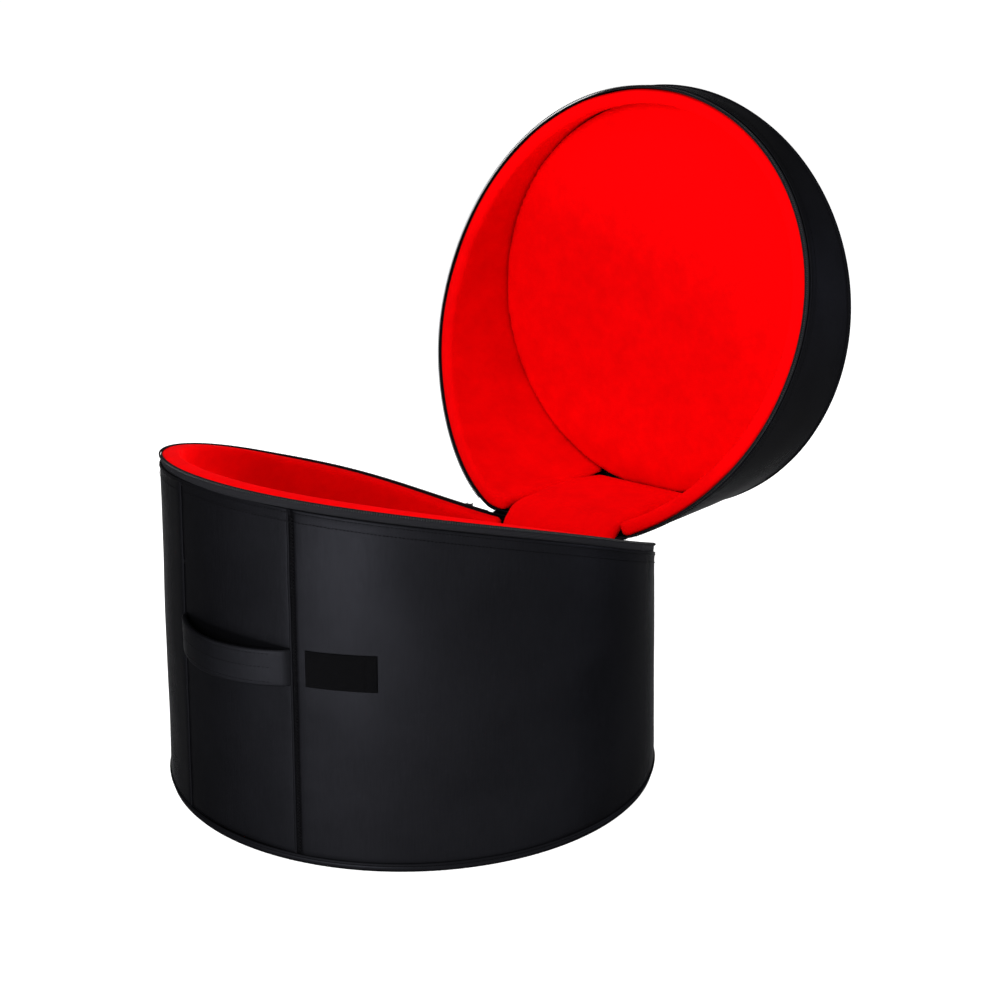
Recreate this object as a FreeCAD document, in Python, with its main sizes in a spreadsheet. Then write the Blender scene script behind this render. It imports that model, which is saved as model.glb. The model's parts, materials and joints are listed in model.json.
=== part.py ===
import FreeCAD, Part
import math
import os
import Sketcher

Vector = FreeCAD.Vector
Constraint = Sketcher.Constraint

# Padded drum bag with a slanted clamshell lid, in millimetres.
# The origin is the middle of the underside, +Z is up, the handle faces -Y and the hinge +Y.
# Both shells are cut from one tapered drum: a cone, a waist scooped out of its rear so that the
# hinge line is straight, and a shallow drum-long arc that parts the base from the lid.
# Every wall layer is the space between two such drums, each inset by its depth into the wall.

SIZES = {
    "base_radius": 265.0,          # outside, at the floor
    "draw_in": 9.0,                # how much smaller the radius is at the top panel
    "closed_height": 430.0,        # floor to top panel, lid closed
    "lid_front_depth": 57.5,       # top panel down to the zipper line, above the handle
    "lid_middle_depth": 121.0,     # the same at the drum's axis
    "hinge_height": 207.0,         # hinge line above the floor
    "hinge_set_in": 17.6,          # straight hinge line inside the round wall line
    "lid_opening": 91.4,           # degrees the lid stands open at rest
    "rim_gap": 0.3,                # between base and lid when closed
    "seat_gap": 0.3,               # between loose pads and what they lie on
    "ply_gap": 0.1,                # between the outer cloth and the foam behind it
    "fabric": 1.5,                 # outer cloth
    "foam": 17.0,                  # wall padding
    "lining": 2.0,                 # plush cloth inside
    "end_foam": 12.0,              # padding of floor and top
    "edge_turn": 8.0,              # end panels turned up over the wall
    "edge_bevel": 2.5,             # bevel of that turn
    "bead_rise": 1.6,              # piping between end panel and wall
    "bead_width": 3.2,
    "front_seam_reach": 78.0,      # seams of the handle panel, each side of the middle
    "seam_rise": 1.2,              # how far a felled seam stands proud
    "seam_width": 3.0,
    "hinge_pad_inset": 14.0,       # side edge of the pads beside the hinge, from its end
    "pad_gap": 0.6,                # between two pads that meet
    "band_width": 10.0,            # zipper tape that shows below the rim
    "coil_height": 3.0,
    "coil_rise": 0.6,              # how far the coil stands proud of the tape
    "coil_clear": 10.0,            # coil ends this far before the hinge corner
    "flap_reach": 27.0,            # hinge cloth down and out from the hinge line
    "flap_cloth": 1.2,
    "label_width": 72.0,
    "label_height": 43.0,
    "label_cloth": 0.8,
    "label_middle": 199.5,         # above the floor
    "label_from_seam": 42.8,       # from the right seam to the label's middle
    "handle_middle": 200.0,        # above the floor
    "handle_width": 38.0,
    "handle_cloth": 3.6,           # both layers
    "handle_bow": 30.0,            # how far the middle stands off the line of its ends
    "handle_inset": 12.0,          # from the seam to the part that lifts
    "handle_gap": 0.3,
    "slider_turn": 27.0,           # degrees round from the hinge
    "slider_width": 8.0,
    "slider_length": 11.0,
    "slider_plate": 1.6,
    "ear_width": 1.4,
    "ear_reach": 4.4,
    "pin_radius": 0.8,
    "pull_play": 0.3,
    "pull_width": 6.0,
    "pull_length": 24.0,
    "pull_thick": 1.6,
}

document = FreeCAD.newDocument("DrumBag")
sheet = document.addObject("Spreadsheet::Sheet", "Sizes")
for row, (alias, value) in enumerate(SIZES.items(), 1):
    sheet.set(f"A{row}", alias)
    sheet.set(f"B{row}", str(value))
    sheet.setAlias(f"B{row}", alias)
layout = document.addObject("App::VarSet", "Layout")
subparts = []


def derive(name, expression):
    """Adds a worked-out size to the layout, bound to the sheet."""
    layout.addProperty("App::PropertyFloat", name)
    layout.setExpression(name, expression)


def circle_through(name, first, second, third):
    """Derives the centre and radius of the arc through three (y, z) points given as expressions."""
    points = [first, second, third]
    for letter, (along, up) in zip("abc", points):
        derive(f"{name}_{letter}y", along)
        derive(f"{name}_{letter}z", up)
    ay, az, by, bz, cy, cz = [f"{name}_{letter}{axis}" for letter in "abc" for axis in "yz"]
    derive(f"{name}_d", f"2 * ({ay} * ({bz} - {cz}) + {by} * ({cz} - {az}) + {cy} * ({az} - {bz}))")
    squares = [f"({name}_{letter}y ^ 2 + {name}_{letter}z ^ 2)" for letter in "abc"]
    a, b, c = squares
    derive(f"{name}_y", f"({a} * ({bz} - {cz}) + {b} * ({cz} - {az}) + {c} * ({az} - {bz})) / {name}_d")
    derive(f"{name}_z", f"({a} * ({cy} - {by}) + {b} * ({ay} - {cy}) + {c} * ({by} - {ay})) / {name}_d")
    derive(f"{name}_r", f"sqrt(({ay} - {name}_y) ^ 2 + ({az} - {name}_z) ^ 2)")


derive("taper", "Sizes.draw_in / Sizes.closed_height")
derive("lid_radius", "Sizes.base_radius - Sizes.draw_in")
derive("wall", "Sizes.fabric + Sizes.foam + Sizes.lining")
derive("reach", "2 * (Sizes.base_radius + Sizes.closed_height)")
derive("hinge_radius", "Sizes.base_radius - taper * Sizes.hinge_height")
derive("hinge_reach", "hinge_radius - Sizes.hinge_set_in")
derive("hinge_half", "sqrt(hinge_radius ^ 2 - hinge_reach ^ 2)")
derive("hinge_pad_reach", "hinge_half - Sizes.hinge_pad_inset")
derive("rim_front_height", "Sizes.closed_height - Sizes.lid_front_depth")
derive("rim_middle_height", "Sizes.closed_height - Sizes.lid_middle_depth")
derive("floor_top", "Sizes.fabric + Sizes.end_foam + Sizes.lining")
circle_through(
    "rim",
    ("-(Sizes.base_radius - taper * rim_front_height)", "rim_front_height"),
    ("0", "rim_middle_height"),
    ("hinge_reach", "Sizes.hinge_height"),
)
circle_through(
    "waist",
    ("Sizes.base_radius - taper * Sizes.edge_turn", "Sizes.edge_turn"),
    ("hinge_reach", "Sizes.hinge_height"),
    ("lid_radius + taper * Sizes.edge_turn", "Sizes.closed_height - Sizes.edge_turn"),
)
derive("handle_radius", "Sizes.base_radius - taper * Sizes.handle_middle")
derive("handle_line", "-sqrt(handle_radius ^ 2 - Sizes.front_seam_reach ^ 2)")
derive("label_radius", "Sizes.base_radius - taper * Sizes.label_middle")
derive("label_turn", "asin((Sizes.front_seam_reach + Sizes.label_from_seam) / label_radius)")
derive("handle_end", "Sizes.front_seam_reach - Sizes.handle_inset")
derive("handle_low", "Sizes.handle_middle - Sizes.handle_width / 2")
derive("handle_top", "Sizes.handle_middle + Sizes.handle_width / 2")
circle_through(
    "bow",
    ("-Sizes.front_seam_reach", "handle_line"),
    ("0", "handle_line - Sizes.handle_bow"),
    ("Sizes.front_seam_reach", "handle_line"),
)
derive("slider_radius", "Sizes.base_radius - taper * Sizes.hinge_height")
derive("slider_y", "slider_radius * cos(Sizes.slider_turn)")
derive("slider_rim", "rim_z + sqrt(rim_r ^ 2 - (slider_y - rim_y) ^ 2)")
document.recompute()


def bind(item, **expressions):
    """Sets several properties of an object from expressions."""
    for name, expression in expressions.items():
        item.setExpression(name, str(expression))
    return item


def box(name, low, high):
    """A box between two corners given as expressions."""
    item = document.addObject("Part::Box", name)
    for side, start, end in zip(("Length", "Width", "Height"), low, high):
        item.setExpression(side, f"({end}) - ({start})")
    for axis, start in zip("xyz", low):
        item.setExpression(f"Placement.Base.{axis}", start)
    return item


def cross_cylinder(name, radius, y, z):
    """A cylinder along X, wider than the bag, with its axis at y, z."""
    item = document.addObject("Part::Cylinder", name)
    turn = "create(<<rotation>>; create(<<vector>>; 0; 1; 0); 90)"
    place = f"create(<<placement>>; create(<<vector>>; -Layout.reach; {y}; {z}); {turn})"
    return bind(item, Radius=radius, Height="2 * Layout.reach", Placement=place)


def cone(name, inset, low, high):
    """The bag's round wall line, inset into the wall, between two heights."""
    item = document.addObject("Part::Cone", name)
    start = f"Sizes.base_radius - ({inset}) - Layout.taper * ({low})"
    end = f"Sizes.base_radius - ({inset}) - Layout.taper * ({high})"
    bind(item, Radius1=start, Radius2=end, Height=f"({high}) - ({low})")
    item.setExpression("Placement.Base.z", low)
    return item


def cut(name, base, tool):
    item = document.addObject("Part::Cut", name)
    item.Base = base
    item.Tool = tool
    return item


def common(name, *shapes):
    item = document.addObject("Part::MultiCommon", name)
    item.Shapes = list(shapes)
    return item


def fuse(name, *shapes):
    item = document.addObject("Part::MultiFuse", name)
    item.Shapes = list(shapes)
    item.Refine = True
    return item


def drum(name, inset, low, high):
    """The waisted drum, inset into the wall."""
    waist = cross_cylinder(f"{name}Waist", f"Layout.waist_r + ({inset})", "Layout.waist_y", "Layout.waist_z")
    return cut(name, cone(f"{name}Cone", inset, low, high), waist)


def layer(name, outer, inner, low, high):
    """One layer of the wall, between two insets and two heights."""
    return cut(name, drum(f"{name}Outer", outer, low, high), drum(f"{name}Inner", inner, low, high))


def below_rim(name, shape, drop):
    """What lies under the zipper line, lowered by a drop."""
    region = cross_cylinder(f"{name}Rim", f"Layout.rim_r - ({drop})", "Layout.rim_y", "Layout.rim_z")
    return common(name, shape, region)


def above_rim(name, shape, lift):
    """What lies over the zipper line, raised by a lift past the gap that the closed lid keeps."""
    radius = f"Layout.rim_r + Sizes.rim_gap + ({lift})"
    return cut(name, shape, cross_cylinder(f"{name}Rim", radius, "Layout.rim_y", "Layout.rim_z"))


def front_slot(name, half):
    """The space in front of the drum's axis between two seams."""
    return box(name, (f"-({half})", "-Layout.reach", "-Layout.reach"), (half, "0", "Layout.reach"))


def rear_slot(name, half):
    """The space behind the drum's axis between two seams."""
    return box(name, (f"-({half})", "0", "-Layout.reach"), (half, "Layout.reach", "Layout.reach"))


def half_space(name, side, start):
    """Everything to one side of the mirror plane, from a distance out."""
    low = ("-Layout.reach", "-Layout.reach", "-Layout.reach")
    high = (f"-({start})", "Layout.reach", "Layout.reach")
    if side > 0:
        low, high = (start, low[1], low[2]), ("Layout.reach", high[1], high[2])
    return box(name, low, high)


def keep(item, label):
    """Names a finished sub-part."""
    item.Label = label
    subparts.append(item)
    return item


def open_lid(item):
    """Swings a lid piece, built closed, open about the hinge line."""
    turn = "create(<<rotation>>; create(<<vector>>; -1; 0; 0); Sizes.lid_opening)"
    centre = "create(<<vector>>; 0; Layout.hinge_reach; Sizes.hinge_height)"
    nowhere = "create(<<vector>>; 0; 0; 0)"
    item.setExpression("Placement", f"create(<<placement>>; {nowhere}; {turn}; {centre})")
    return item


def body_sketch(body, name, plane):
    """An empty sketch on one of a body's own origin planes."""
    sketch = body.newObject("Sketcher::SketchObject", name)
    support = next(item for item in body.Origin.OriginFeatures if item.Role == plane)
    sketch.AttachmentSupport = (support, "")
    sketch.MapMode = "FlatFace"
    return sketch


def polygon(sketch, points):
    """Closed straight outline whose corners are bound to (across, up) expressions."""
    count = len(points)
    start = [Vector(math.cos(2 * math.pi * k / count), math.sin(2 * math.pi * k / count), 0) for k in range(count)]
    for k in range(count):
        sketch.addGeometry(Part.LineSegment(start[k], start[(k + 1) % count]))
    for k in range(count):
        sketch.addConstraint(Constraint("Coincident", k, 2, (k + 1) % count, 1))
    for k, (across, up) in enumerate(points):
        for kind, value, expression in (("DistanceX", start[k].x, across), ("DistanceY", start[k].y, up)):
            index = sketch.addConstraint(Constraint(kind, -1, 1, k, 1, value))
            sketch.setExpression(f"Constraints[{index}]", expression)


# ---- End panels: a cloth disc turned up over the wall, and the bead along that seam ----


def end_panel(label, edge, underside, inward):
    """Disc with a turned edge; inward is +1 for the floor and -1 for the top."""
    body = document.addObject("PartDesign::Body", label)
    profile = body_sketch(body, f"{label}_profile", "XZ_Plane")
    inner_face = f"{underside} + {inward} * Sizes.fabric"
    lip = f"{underside} + {inward} * Sizes.edge_turn"
    polygon(profile, [
        ("0", underside),
        (edge, underside),
        (edge, lip),
        (f"{edge} - Sizes.fabric", lip),
        (f"{edge} - Sizes.fabric", inner_face),
        ("0", inner_face),
    ])
    turned = body.newObject("PartDesign::Revolution", f"{label}_turned")
    turned.Profile = profile
    turned.ReferenceAxis = (profile, ["V_Axis"])
    turned.Angle = 360
    document.recompute()
    height = sheet.closed_height if inward < 0 else 0.0
    rim = [
        f"Edge{number}"
        for number, side in enumerate(turned.Shape.Edges, 1)
        if abs(side.BoundBox.ZMin - height) < 1e-6 and abs(side.BoundBox.ZMax - height) < 1e-6
    ]
    bevelled = body.newObject("PartDesign::Chamfer", f"{label}_bevelled")
    bevelled.Base = (turned, rim)
    bevelled.setExpression("Size", "Sizes.edge_bevel")
    body.Tip = bevelled
    return keep(body, label)


def edge_bead(label, radius, height):
    """Piping that stands proud of the wall where it meets an end panel."""
    body = document.addObject("PartDesign::Body", label)
    profile = body_sketch(body, f"{label}_profile", "XZ_Plane")
    inside = f"{radius} + Sizes.ply_gap"
    outside = f"{inside} + Sizes.bead_rise"
    polygon(profile, [
        (inside, f"{height} - Sizes.bead_width / 2"),
        (outside, f"{height} - Sizes.bead_width / 4"),
        (outside, f"{height} + Sizes.bead_width / 4"),
        (inside, f"{height} + Sizes.bead_width / 2"),
    ])
    turned = body.newObject("PartDesign::Revolution", f"{label}_turned")
    turned.Profile = profile
    turned.ReferenceAxis = (profile, ["V_Axis"])
    turned.Angle = 360
    return keep(body, label)


end_panel("base_bottom_panel", "Sizes.base_radius", "0", 1)
edge_bead("base_bottom_piping", "Sizes.base_radius", "Sizes.edge_turn")
open_lid(end_panel("lid_top_panel", "Layout.lid_radius + Layout.taper * Sizes.edge_turn", "Sizes.closed_height", -1))
lid_bead_radius = "Layout.lid_radius + Layout.taper * (Sizes.edge_turn + Sizes.bead_width / 2)"
open_lid(edge_bead("lid_top_piping", lid_bead_radius, "Sizes.closed_height - Sizes.edge_turn"))


# ---- Base: outer cloth in four panels, felled seams, padding and lining ----


def base_skin(name):
    """Outer cloth of the base, from the turned edge up to the zipper tape."""
    whole = layer(f"{name}_ring", "0", "Sizes.fabric", "Sizes.edge_turn", "Sizes.closed_height")
    return below_rim(f"{name}_skin", whole, "Sizes.band_width")


def side_panel(label, skin, side):
    """Cloth from the handle panel's seam round to the hinge panel's seam."""
    front = half_space(f"{label}_half", side, "0")
    open_front = cut(f"{label}_front", common(f"{label}_side", skin, front), front_slot(
        f"{label}_front_slot", "Sizes.front_seam_reach"))
    return keep(cut(label, open_front, rear_slot(f"{label}_rear_slot", "Layout.hinge_half")), label)


for side, word in ((-1, "left"), (1, "right")):
    side_panel(f"base_side_panel_{word}", base_skin(f"base_{word}"), side)

front_slot_shape = front_slot("handle_slot", "Sizes.front_seam_reach")
keep(common("handle_panel", base_skin("handle"), front_slot_shape), "handle_panel")
keep(common("base_hinge_panel", base_skin("base_hinge"), rear_slot("base_hinge_slot", "Layout.hinge_half")),
     "base_hinge_panel")


def felled_seam(label, side):
    """Raised seam that runs up one edge of the handle panel."""
    low = "Sizes.edge_turn + Sizes.bead_width / 2"
    strip = layer(f"{label}_ring", "-Sizes.seam_rise", "-Sizes.ply_gap", low, "Sizes.closed_height")
    middle = f"{side} * Sizes.front_seam_reach"
    edges = [f"{middle} - Sizes.seam_width / 2", f"{middle} + Sizes.seam_width / 2"]
    slot = box(f"{label}_slot", (edges[0], "-Layout.reach", "0"), (edges[1], "0", "Layout.reach"))
    above_handle = "Layout.handle_top + Sizes.handle_gap"
    tall = below_rim(f"{label}_tall", common(f"{label}_strip", strip, slot), "Sizes.band_width")
    gap = box(f"{label}_gap", ("-Layout.reach", "-Layout.reach", "Layout.handle_low - Sizes.handle_gap"),
              ("Layout.reach", "0", above_handle))
    return keep(cut(label, tall, gap), label)


felled_seam("front_seam_left", -1)
felled_seam("front_seam_right", 1)


def wall_pad(label, outer, inner, low, high, rim, drop):
    """Padding or lining round the wall, open where the hinge pad stands."""
    whole = layer(f"{label}_ring", outer, inner, low, high)
    slot = rear_slot(f"{label}_slot", "Layout.hinge_pad_reach + Sizes.pad_gap")
    return cut(label, rim(f"{label}_rimmed", whole, drop), slot)


def hinge_pad(label, outer, inner, low, high, rim, drop):
    """The same layer in the stretch beside the hinge."""
    whole = layer(f"{label}_ring", outer, inner, low, high)
    return common(label, rim(f"{label}_rimmed", whole, drop), rear_slot(f"{label}_slot", "Layout.hinge_pad_reach"))


FOAM_OUT = "(Sizes.fabric + Sizes.ply_gap)"
FOAM_IN = "(Sizes.fabric + Sizes.foam)"
LINING_IN = "Layout.wall"
BASE_LOW = "Sizes.fabric"
LID_HIGH = "(Sizes.closed_height - Sizes.fabric)"

keep(wall_pad("base_wall_pad", FOAM_OUT, FOAM_IN, BASE_LOW, LID_HIGH, below_rim, "Sizes.lining"),
     "base_wall_pad")
keep(hinge_pad("base_hinge_pad", FOAM_OUT, FOAM_IN, BASE_LOW, LID_HIGH, below_rim, "Sizes.lining"),
     "base_hinge_pad")


def lining(label, shape_of, rim, low, high):
    """Plush cloth over the inner face of a pad and folded over its rim."""
    sheet_and_pad = shape_of(f"{label}_whole", FOAM_OUT, LINING_IN, low, high, rim, "0")
    pad = shape_of(f"{label}_pad", FOAM_OUT, FOAM_IN, low, high, rim, "Sizes.lining")
    return cut(label, sheet_and_pad, pad)


keep(lining("base_wall_lining", wall_pad, below_rim, BASE_LOW, LID_HIGH), "base_wall_lining")
keep(lining("base_hinge_lining", hinge_pad, below_rim, BASE_LOW, LID_HIGH), "base_hinge_lining")


def end_disc(label, low, high):
    """Round pad or lining that lies between the walls."""
    return drum(label, "Layout.wall + Sizes.seat_gap", low, high)


keep(end_disc("base_floor_pad", "Sizes.fabric", "(Sizes.fabric + Sizes.end_foam)"), "base_floor_pad")
keep(end_disc("base_floor_lining", "(Sizes.fabric + Sizes.end_foam)", "Layout.floor_top"), "base_floor_lining")


# ---- Zipper: tape and coil along both rims, end stops, sliders and pulls ----


def zipper_band(label, outer, inner, rim, near, far):
    """A strip of the rim between two distances from the zipper line, left open at the hinge."""
    whole = layer(f"{label}_ring", outer, inner, "0", "Sizes.closed_height")
    strip = cut(f"{label}_strip", rim(f"{label}_near", whole, near), rim(f"{label}_far", whole, far))
    return cut(label, strip, rear_slot(f"{label}_slot", "Layout.hinge_half + Sizes.coil_clear"))


def hinge_binding(label, rim):
    """Cloth edge that closes the gap between the zipper's two ends, across the hinge."""
    whole = layer(f"{label}_ring", "0", "Sizes.fabric", "0", "Sizes.closed_height")
    strip = cut(f"{label}_strip", rim(f"{label}_near", whole, "0"), rim(f"{label}_far", whole, "Sizes.band_width"))
    return common(label, strip, rear_slot(f"{label}_slot", "Layout.hinge_half + Sizes.coil_clear"))


for shell, rim in (("base", below_rim), ("lid", above_rim)):
    tape = zipper_band(f"{shell}_zipper_tape", "0", "Sizes.fabric", rim, "Sizes.coil_height", "Sizes.band_width")
    coil = zipper_band(f"{shell}_zipper_coil", "-Sizes.coil_rise", "Sizes.fabric", rim, "0", "Sizes.coil_height")
    binding = hinge_binding(f"{shell}_hinge_binding", rim)
    for item in (tape, coil, binding):
        keep(item, item.Name)
        if shell == "lid":
            open_lid(item)


def turned_out(item, side, height):
    """Stands a piece, built with +Y outward, against the wall beside a zipper end."""
    lean = f"-({side}) * Sizes.slider_turn"
    radius = "(Layout.slider_radius + Sizes.coil_rise + Sizes.seat_gap)"
    spot = f"create(<<vector>>; {side} * {radius} * sin(Sizes.slider_turn); " \
           f"{radius} * cos(Sizes.slider_turn); {height})"
    turn = f"create(<<rotation>>; create(<<vector>>; 0; 0; 1); {lean})"
    item.setExpression("Placement", f"create(<<placement>>; {spot}; {turn})")
    return item


PIN_OUT = "(Sizes.slider_plate + Sizes.ear_reach - 2 * Sizes.pin_radius)"
SLIDER_HEIGHT = "Layout.slider_rim - Sizes.slider_length"


def slider(label, side):
    """Slider plate with two ears and the pin that carries the pull."""
    half = "Sizes.slider_width / 2"
    plate = box(f"{label}_plate", (f"-{half}", "0", "0"), (half, "Sizes.slider_plate", "Sizes.slider_length"))
    ears = []
    for name, start, end in (("near", f"-{half}", f"-{half} + Sizes.ear_width"),
                             ("far", f"{half} - Sizes.ear_width", half)):
        low = (start, "Sizes.slider_plate", "Sizes.slider_length / 2")
        high = (end, "Sizes.slider_plate + Sizes.ear_reach", "Sizes.slider_length")
        ears.append(box(f"{label}_ear_{name}", low, high))
    pin = document.addObject("Part::Cylinder", f"{label}_pin")
    bind(pin, Radius="Sizes.pin_radius", Height="Sizes.slider_width")
    turn = "create(<<rotation>>; create(<<vector>>; 0; 1; 0); 90)"
    spot = f"create(<<vector>>; -{half}; {PIN_OUT}; 0.75 * Sizes.slider_length)"
    pin.setExpression("Placement", f"create(<<placement>>; {spot}; {turn})")
    return keep(turned_out(fuse(label, plate, pin, *ears), side, SLIDER_HEIGHT), label)


def pull(label, side):
    """Flat pull hanging from the slider's pin, with an eye at its top and a rounded end."""
    body = document.addObject("PartDesign::Body", label)
    outline = body_sketch(body, f"{label}_outline", "YZ_Plane")
    eye = "(Sizes.pin_radius + Sizes.pull_play)"
    boss = f"({eye} + Sizes.pull_thick / 2)"
    pin_height = "(0.75 * Sizes.slider_length)"
    inner = f"({PIN_OUT} - Sizes.pull_thick / 2)"
    polygon(outline, [
        (inner, f"{pin_height} - Sizes.pull_length"),
        (f"{inner} + Sizes.pull_thick", f"{pin_height} - Sizes.pull_length"),
        (f"{inner} + Sizes.pull_thick", f"{pin_height} - {boss} / 2"),
        (f"{inner}", f"{pin_height} - {boss} / 2"),
    ])
    blade = body.newObject("PartDesign::Pad", f"{label}_blade")
    blade.Profile = outline
    blade.Midplane = True
    width = "min(Sizes.pull_width; Sizes.slider_width - 2 * Sizes.ear_width - 2 * Sizes.pull_play)"
    blade.setExpression("Length", width)
    rings = []
    for name, kind, radius in (("boss", "PartDesign::Pad", boss), ("eye", "PartDesign::Pocket", eye)):
        ring = body_sketch(body, f"{label}_{name}_ring", "YZ_Plane")
        ring.addGeometry(Part.Circle(Vector(0, 0, 0), Vector(0, 0, 1), 1))
        for constraint, expression in (
            (Constraint("Radius", 0, 1.0), radius),
            (Constraint("DistanceX", -1, 1, 0, 3, 1.0), PIN_OUT),
            (Constraint("DistanceY", -1, 1, 0, 3, 1.0), pin_height),
        ):
            index = ring.addConstraint(constraint)
            ring.setExpression(f"Constraints[{index}]", expression)
        feature = body.newObject(kind, f"{label}_{name}")
        feature.Profile = ring
        feature.Midplane = True
        feature.setExpression("Length", width if name == "boss" else f"2 * ({width})")
        rings.append(feature)
    body.Tip = rings[-1]
    return keep(turned_out(body, side, SLIDER_HEIGHT), label)


for side, word in ((-1, "left"), (1, "right")):
    slider(f"zipper_slider_{word}", side)
    pull(f"zipper_pull_{word}", side)


# ---- Lid: one band of cloth, a hinge panel, padding and lining ----


def lid_skin(name):
    """Outer cloth of the lid, from the zipper tape up to the turned edge."""
    top = "(Sizes.closed_height - Sizes.edge_turn)"
    whole = layer(f"{name}_ring", "0", "Sizes.fabric", "0", top)
    return above_rim(f"{name}_skin", whole, "Sizes.band_width")


lid_pieces = [
    keep(cut("lid_side_panel", lid_skin("lid"), rear_slot("lid_side_slot", "Layout.hinge_half")),
         "lid_side_panel"),
    keep(common("lid_hinge_panel", lid_skin("lid_hinge"), rear_slot("lid_hinge_slot", "Layout.hinge_half")),
         "lid_hinge_panel"),
    keep(wall_pad("lid_wall_pad", FOAM_OUT, FOAM_IN, "0", LID_HIGH, above_rim, "Sizes.lining"),
         "lid_wall_pad"),
    keep(hinge_pad("lid_hinge_pad", FOAM_OUT, FOAM_IN, "0", LID_HIGH, above_rim, "Sizes.lining"),
         "lid_hinge_pad"),
    keep(lining("lid_wall_lining", wall_pad, above_rim, "0", LID_HIGH), "lid_wall_lining"),
    keep(lining("lid_hinge_lining", hinge_pad, above_rim, "0", LID_HIGH), "lid_hinge_lining"),
    keep(end_disc("lid_disc_pad", "(Sizes.closed_height - Sizes.fabric - Sizes.end_foam)", LID_HIGH),
         "lid_disc_pad"),
    keep(end_disc("lid_disc_lining", "(Sizes.closed_height - Layout.floor_top)",
                  "(Sizes.closed_height - Sizes.fabric - Sizes.end_foam)"), "lid_disc_lining"),
]
for item in lid_pieces:
    open_lid(item)


# ---- Cloth flap sewn across the outside of the hinge ----


def hinge_flap():
    """Strip down the base and out along the open lid, joined along the hinge line."""
    half = "Layout.hinge_pad_reach"
    parts = []
    for name, low, high in (
        ("flap_down", "Sizes.hinge_height - Sizes.flap_reach", "Sizes.hinge_height"),
        ("flap_out", "Sizes.hinge_height + Sizes.ply_gap", "Sizes.hinge_height + Sizes.flap_reach"),
    ):
        strip = layer(f"{name}_ring", "-Sizes.flap_cloth", "-Sizes.ply_gap", low, high)
        parts.append(common(name, strip, rear_slot(f"{name}_slot", half)))
    open_lid(parts[1])
    return keep(fuse("hinge_flap", *parts), "hinge_flap")


hinge_flap()


# ---- Handle: cloth tabs at the two seams and the strap that lifts between them ----


def bowed_band(name, low_x, high_x):
    """A stretch of the handle's arc, standing on edge, between two distances from the middle."""
    half = "Sizes.handle_cloth / 2"
    rings = []
    for word, radius in (("outer", f"Layout.bow_r + {half}"), ("inner", f"Layout.bow_r - {half}")):
        ring = document.addObject("Part::Cylinder", f"{name}_{word}")
        bind(ring, Radius=radius, Height="Sizes.handle_width")
        ring.setExpression("Placement.Base.x", "Layout.bow_y")
        ring.setExpression("Placement.Base.y", "Layout.bow_z")
        ring.setExpression("Placement.Base.z", "Layout.handle_low")
        rings.append(ring)
    low = (low_x, "-Layout.reach", "0")
    high = (high_x, "Layout.handle_line", "Layout.reach")
    return common(name, cut(f"{name}_arc", *rings), box(f"{name}_slot", low, high))


def handle_tab(label, side):
    """Fixed end of the handle, from its seam out to the lifting strap."""
    ends = ["Layout.handle_end + Sizes.handle_gap", "Sizes.front_seam_reach + Sizes.handle_cloth"]
    if side < 0:
        ends = [f"-({end})" for end in reversed(ends)]
    band = bowed_band(f"{label}_band", *ends)
    low = "Layout.handle_low - Sizes.handle_gap"
    high = "Layout.handle_top + Sizes.handle_gap"
    wall = drum(f"{label}_wall", "0", low, high)
    return keep(cut(label, band, wall), label)


handle_tab("handle_tab_left", -1)
handle_tab("handle_tab_right", 1)
keep(bowed_band("handle_strap", "-Layout.handle_end", "Layout.handle_end"), "handle_strap")


# ---- Bare cloth patch on the side panel ----


def label_patch():
    """Small rectangle of cloth that follows the wall's curve."""
    half_high = "Sizes.label_height / 2"
    low = f"Sizes.label_middle - {half_high}"
    high = f"Sizes.label_middle + {half_high}"
    strip = layer("label_ring", "-Sizes.label_cloth", "0", low, high)
    window = document.addObject("Part::Box", "label_window")
    bind(window, Length="Sizes.label_width", Width="Layout.reach", Height="Layout.reach")
    turn = "create(<<rotation>>; create(<<vector>>; 0; 0; 1); Layout.label_turn)"
    spot = "create(<<vector>>; -Sizes.label_width / 2; -Layout.reach; 0)"
    middle = "create(<<vector>>; Sizes.label_width / 2; Layout.reach; 0)"
    window.setExpression("Placement", f"create(<<placement>>; {spot}; {turn}; {middle})")
    return keep(common("label_patch", strip, window), "label_patch")


label_patch()

# ---- Check and export ----
document.recompute()
for item in document.Objects:
    if "Invalid" in item.State or "Error" in item.State:
        raise RuntimeError(f"{item.Name} did not build: {item.State}")
for item in subparts:
    if item.Shape.isNull() or not item.Shape.isValid() or not item.Shape.Solids:
        raise RuntimeError(f"{item.Label} is not a valid solid")

os.makedirs("parts", exist_ok=True)
for item in subparts:
    item.Shape.exportStep(os.path.join("parts", f"{item.Label}.step"))
    print(item.Label, len(item.Shape.Solids), round(item.Shape.Volume))
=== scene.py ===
"""Padded bag for a bass drum, standing open: cloth, cushions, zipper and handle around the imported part."""

import json
import math

import bmesh
import bpy
from mathutils import Matrix, Vector, noise


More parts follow.
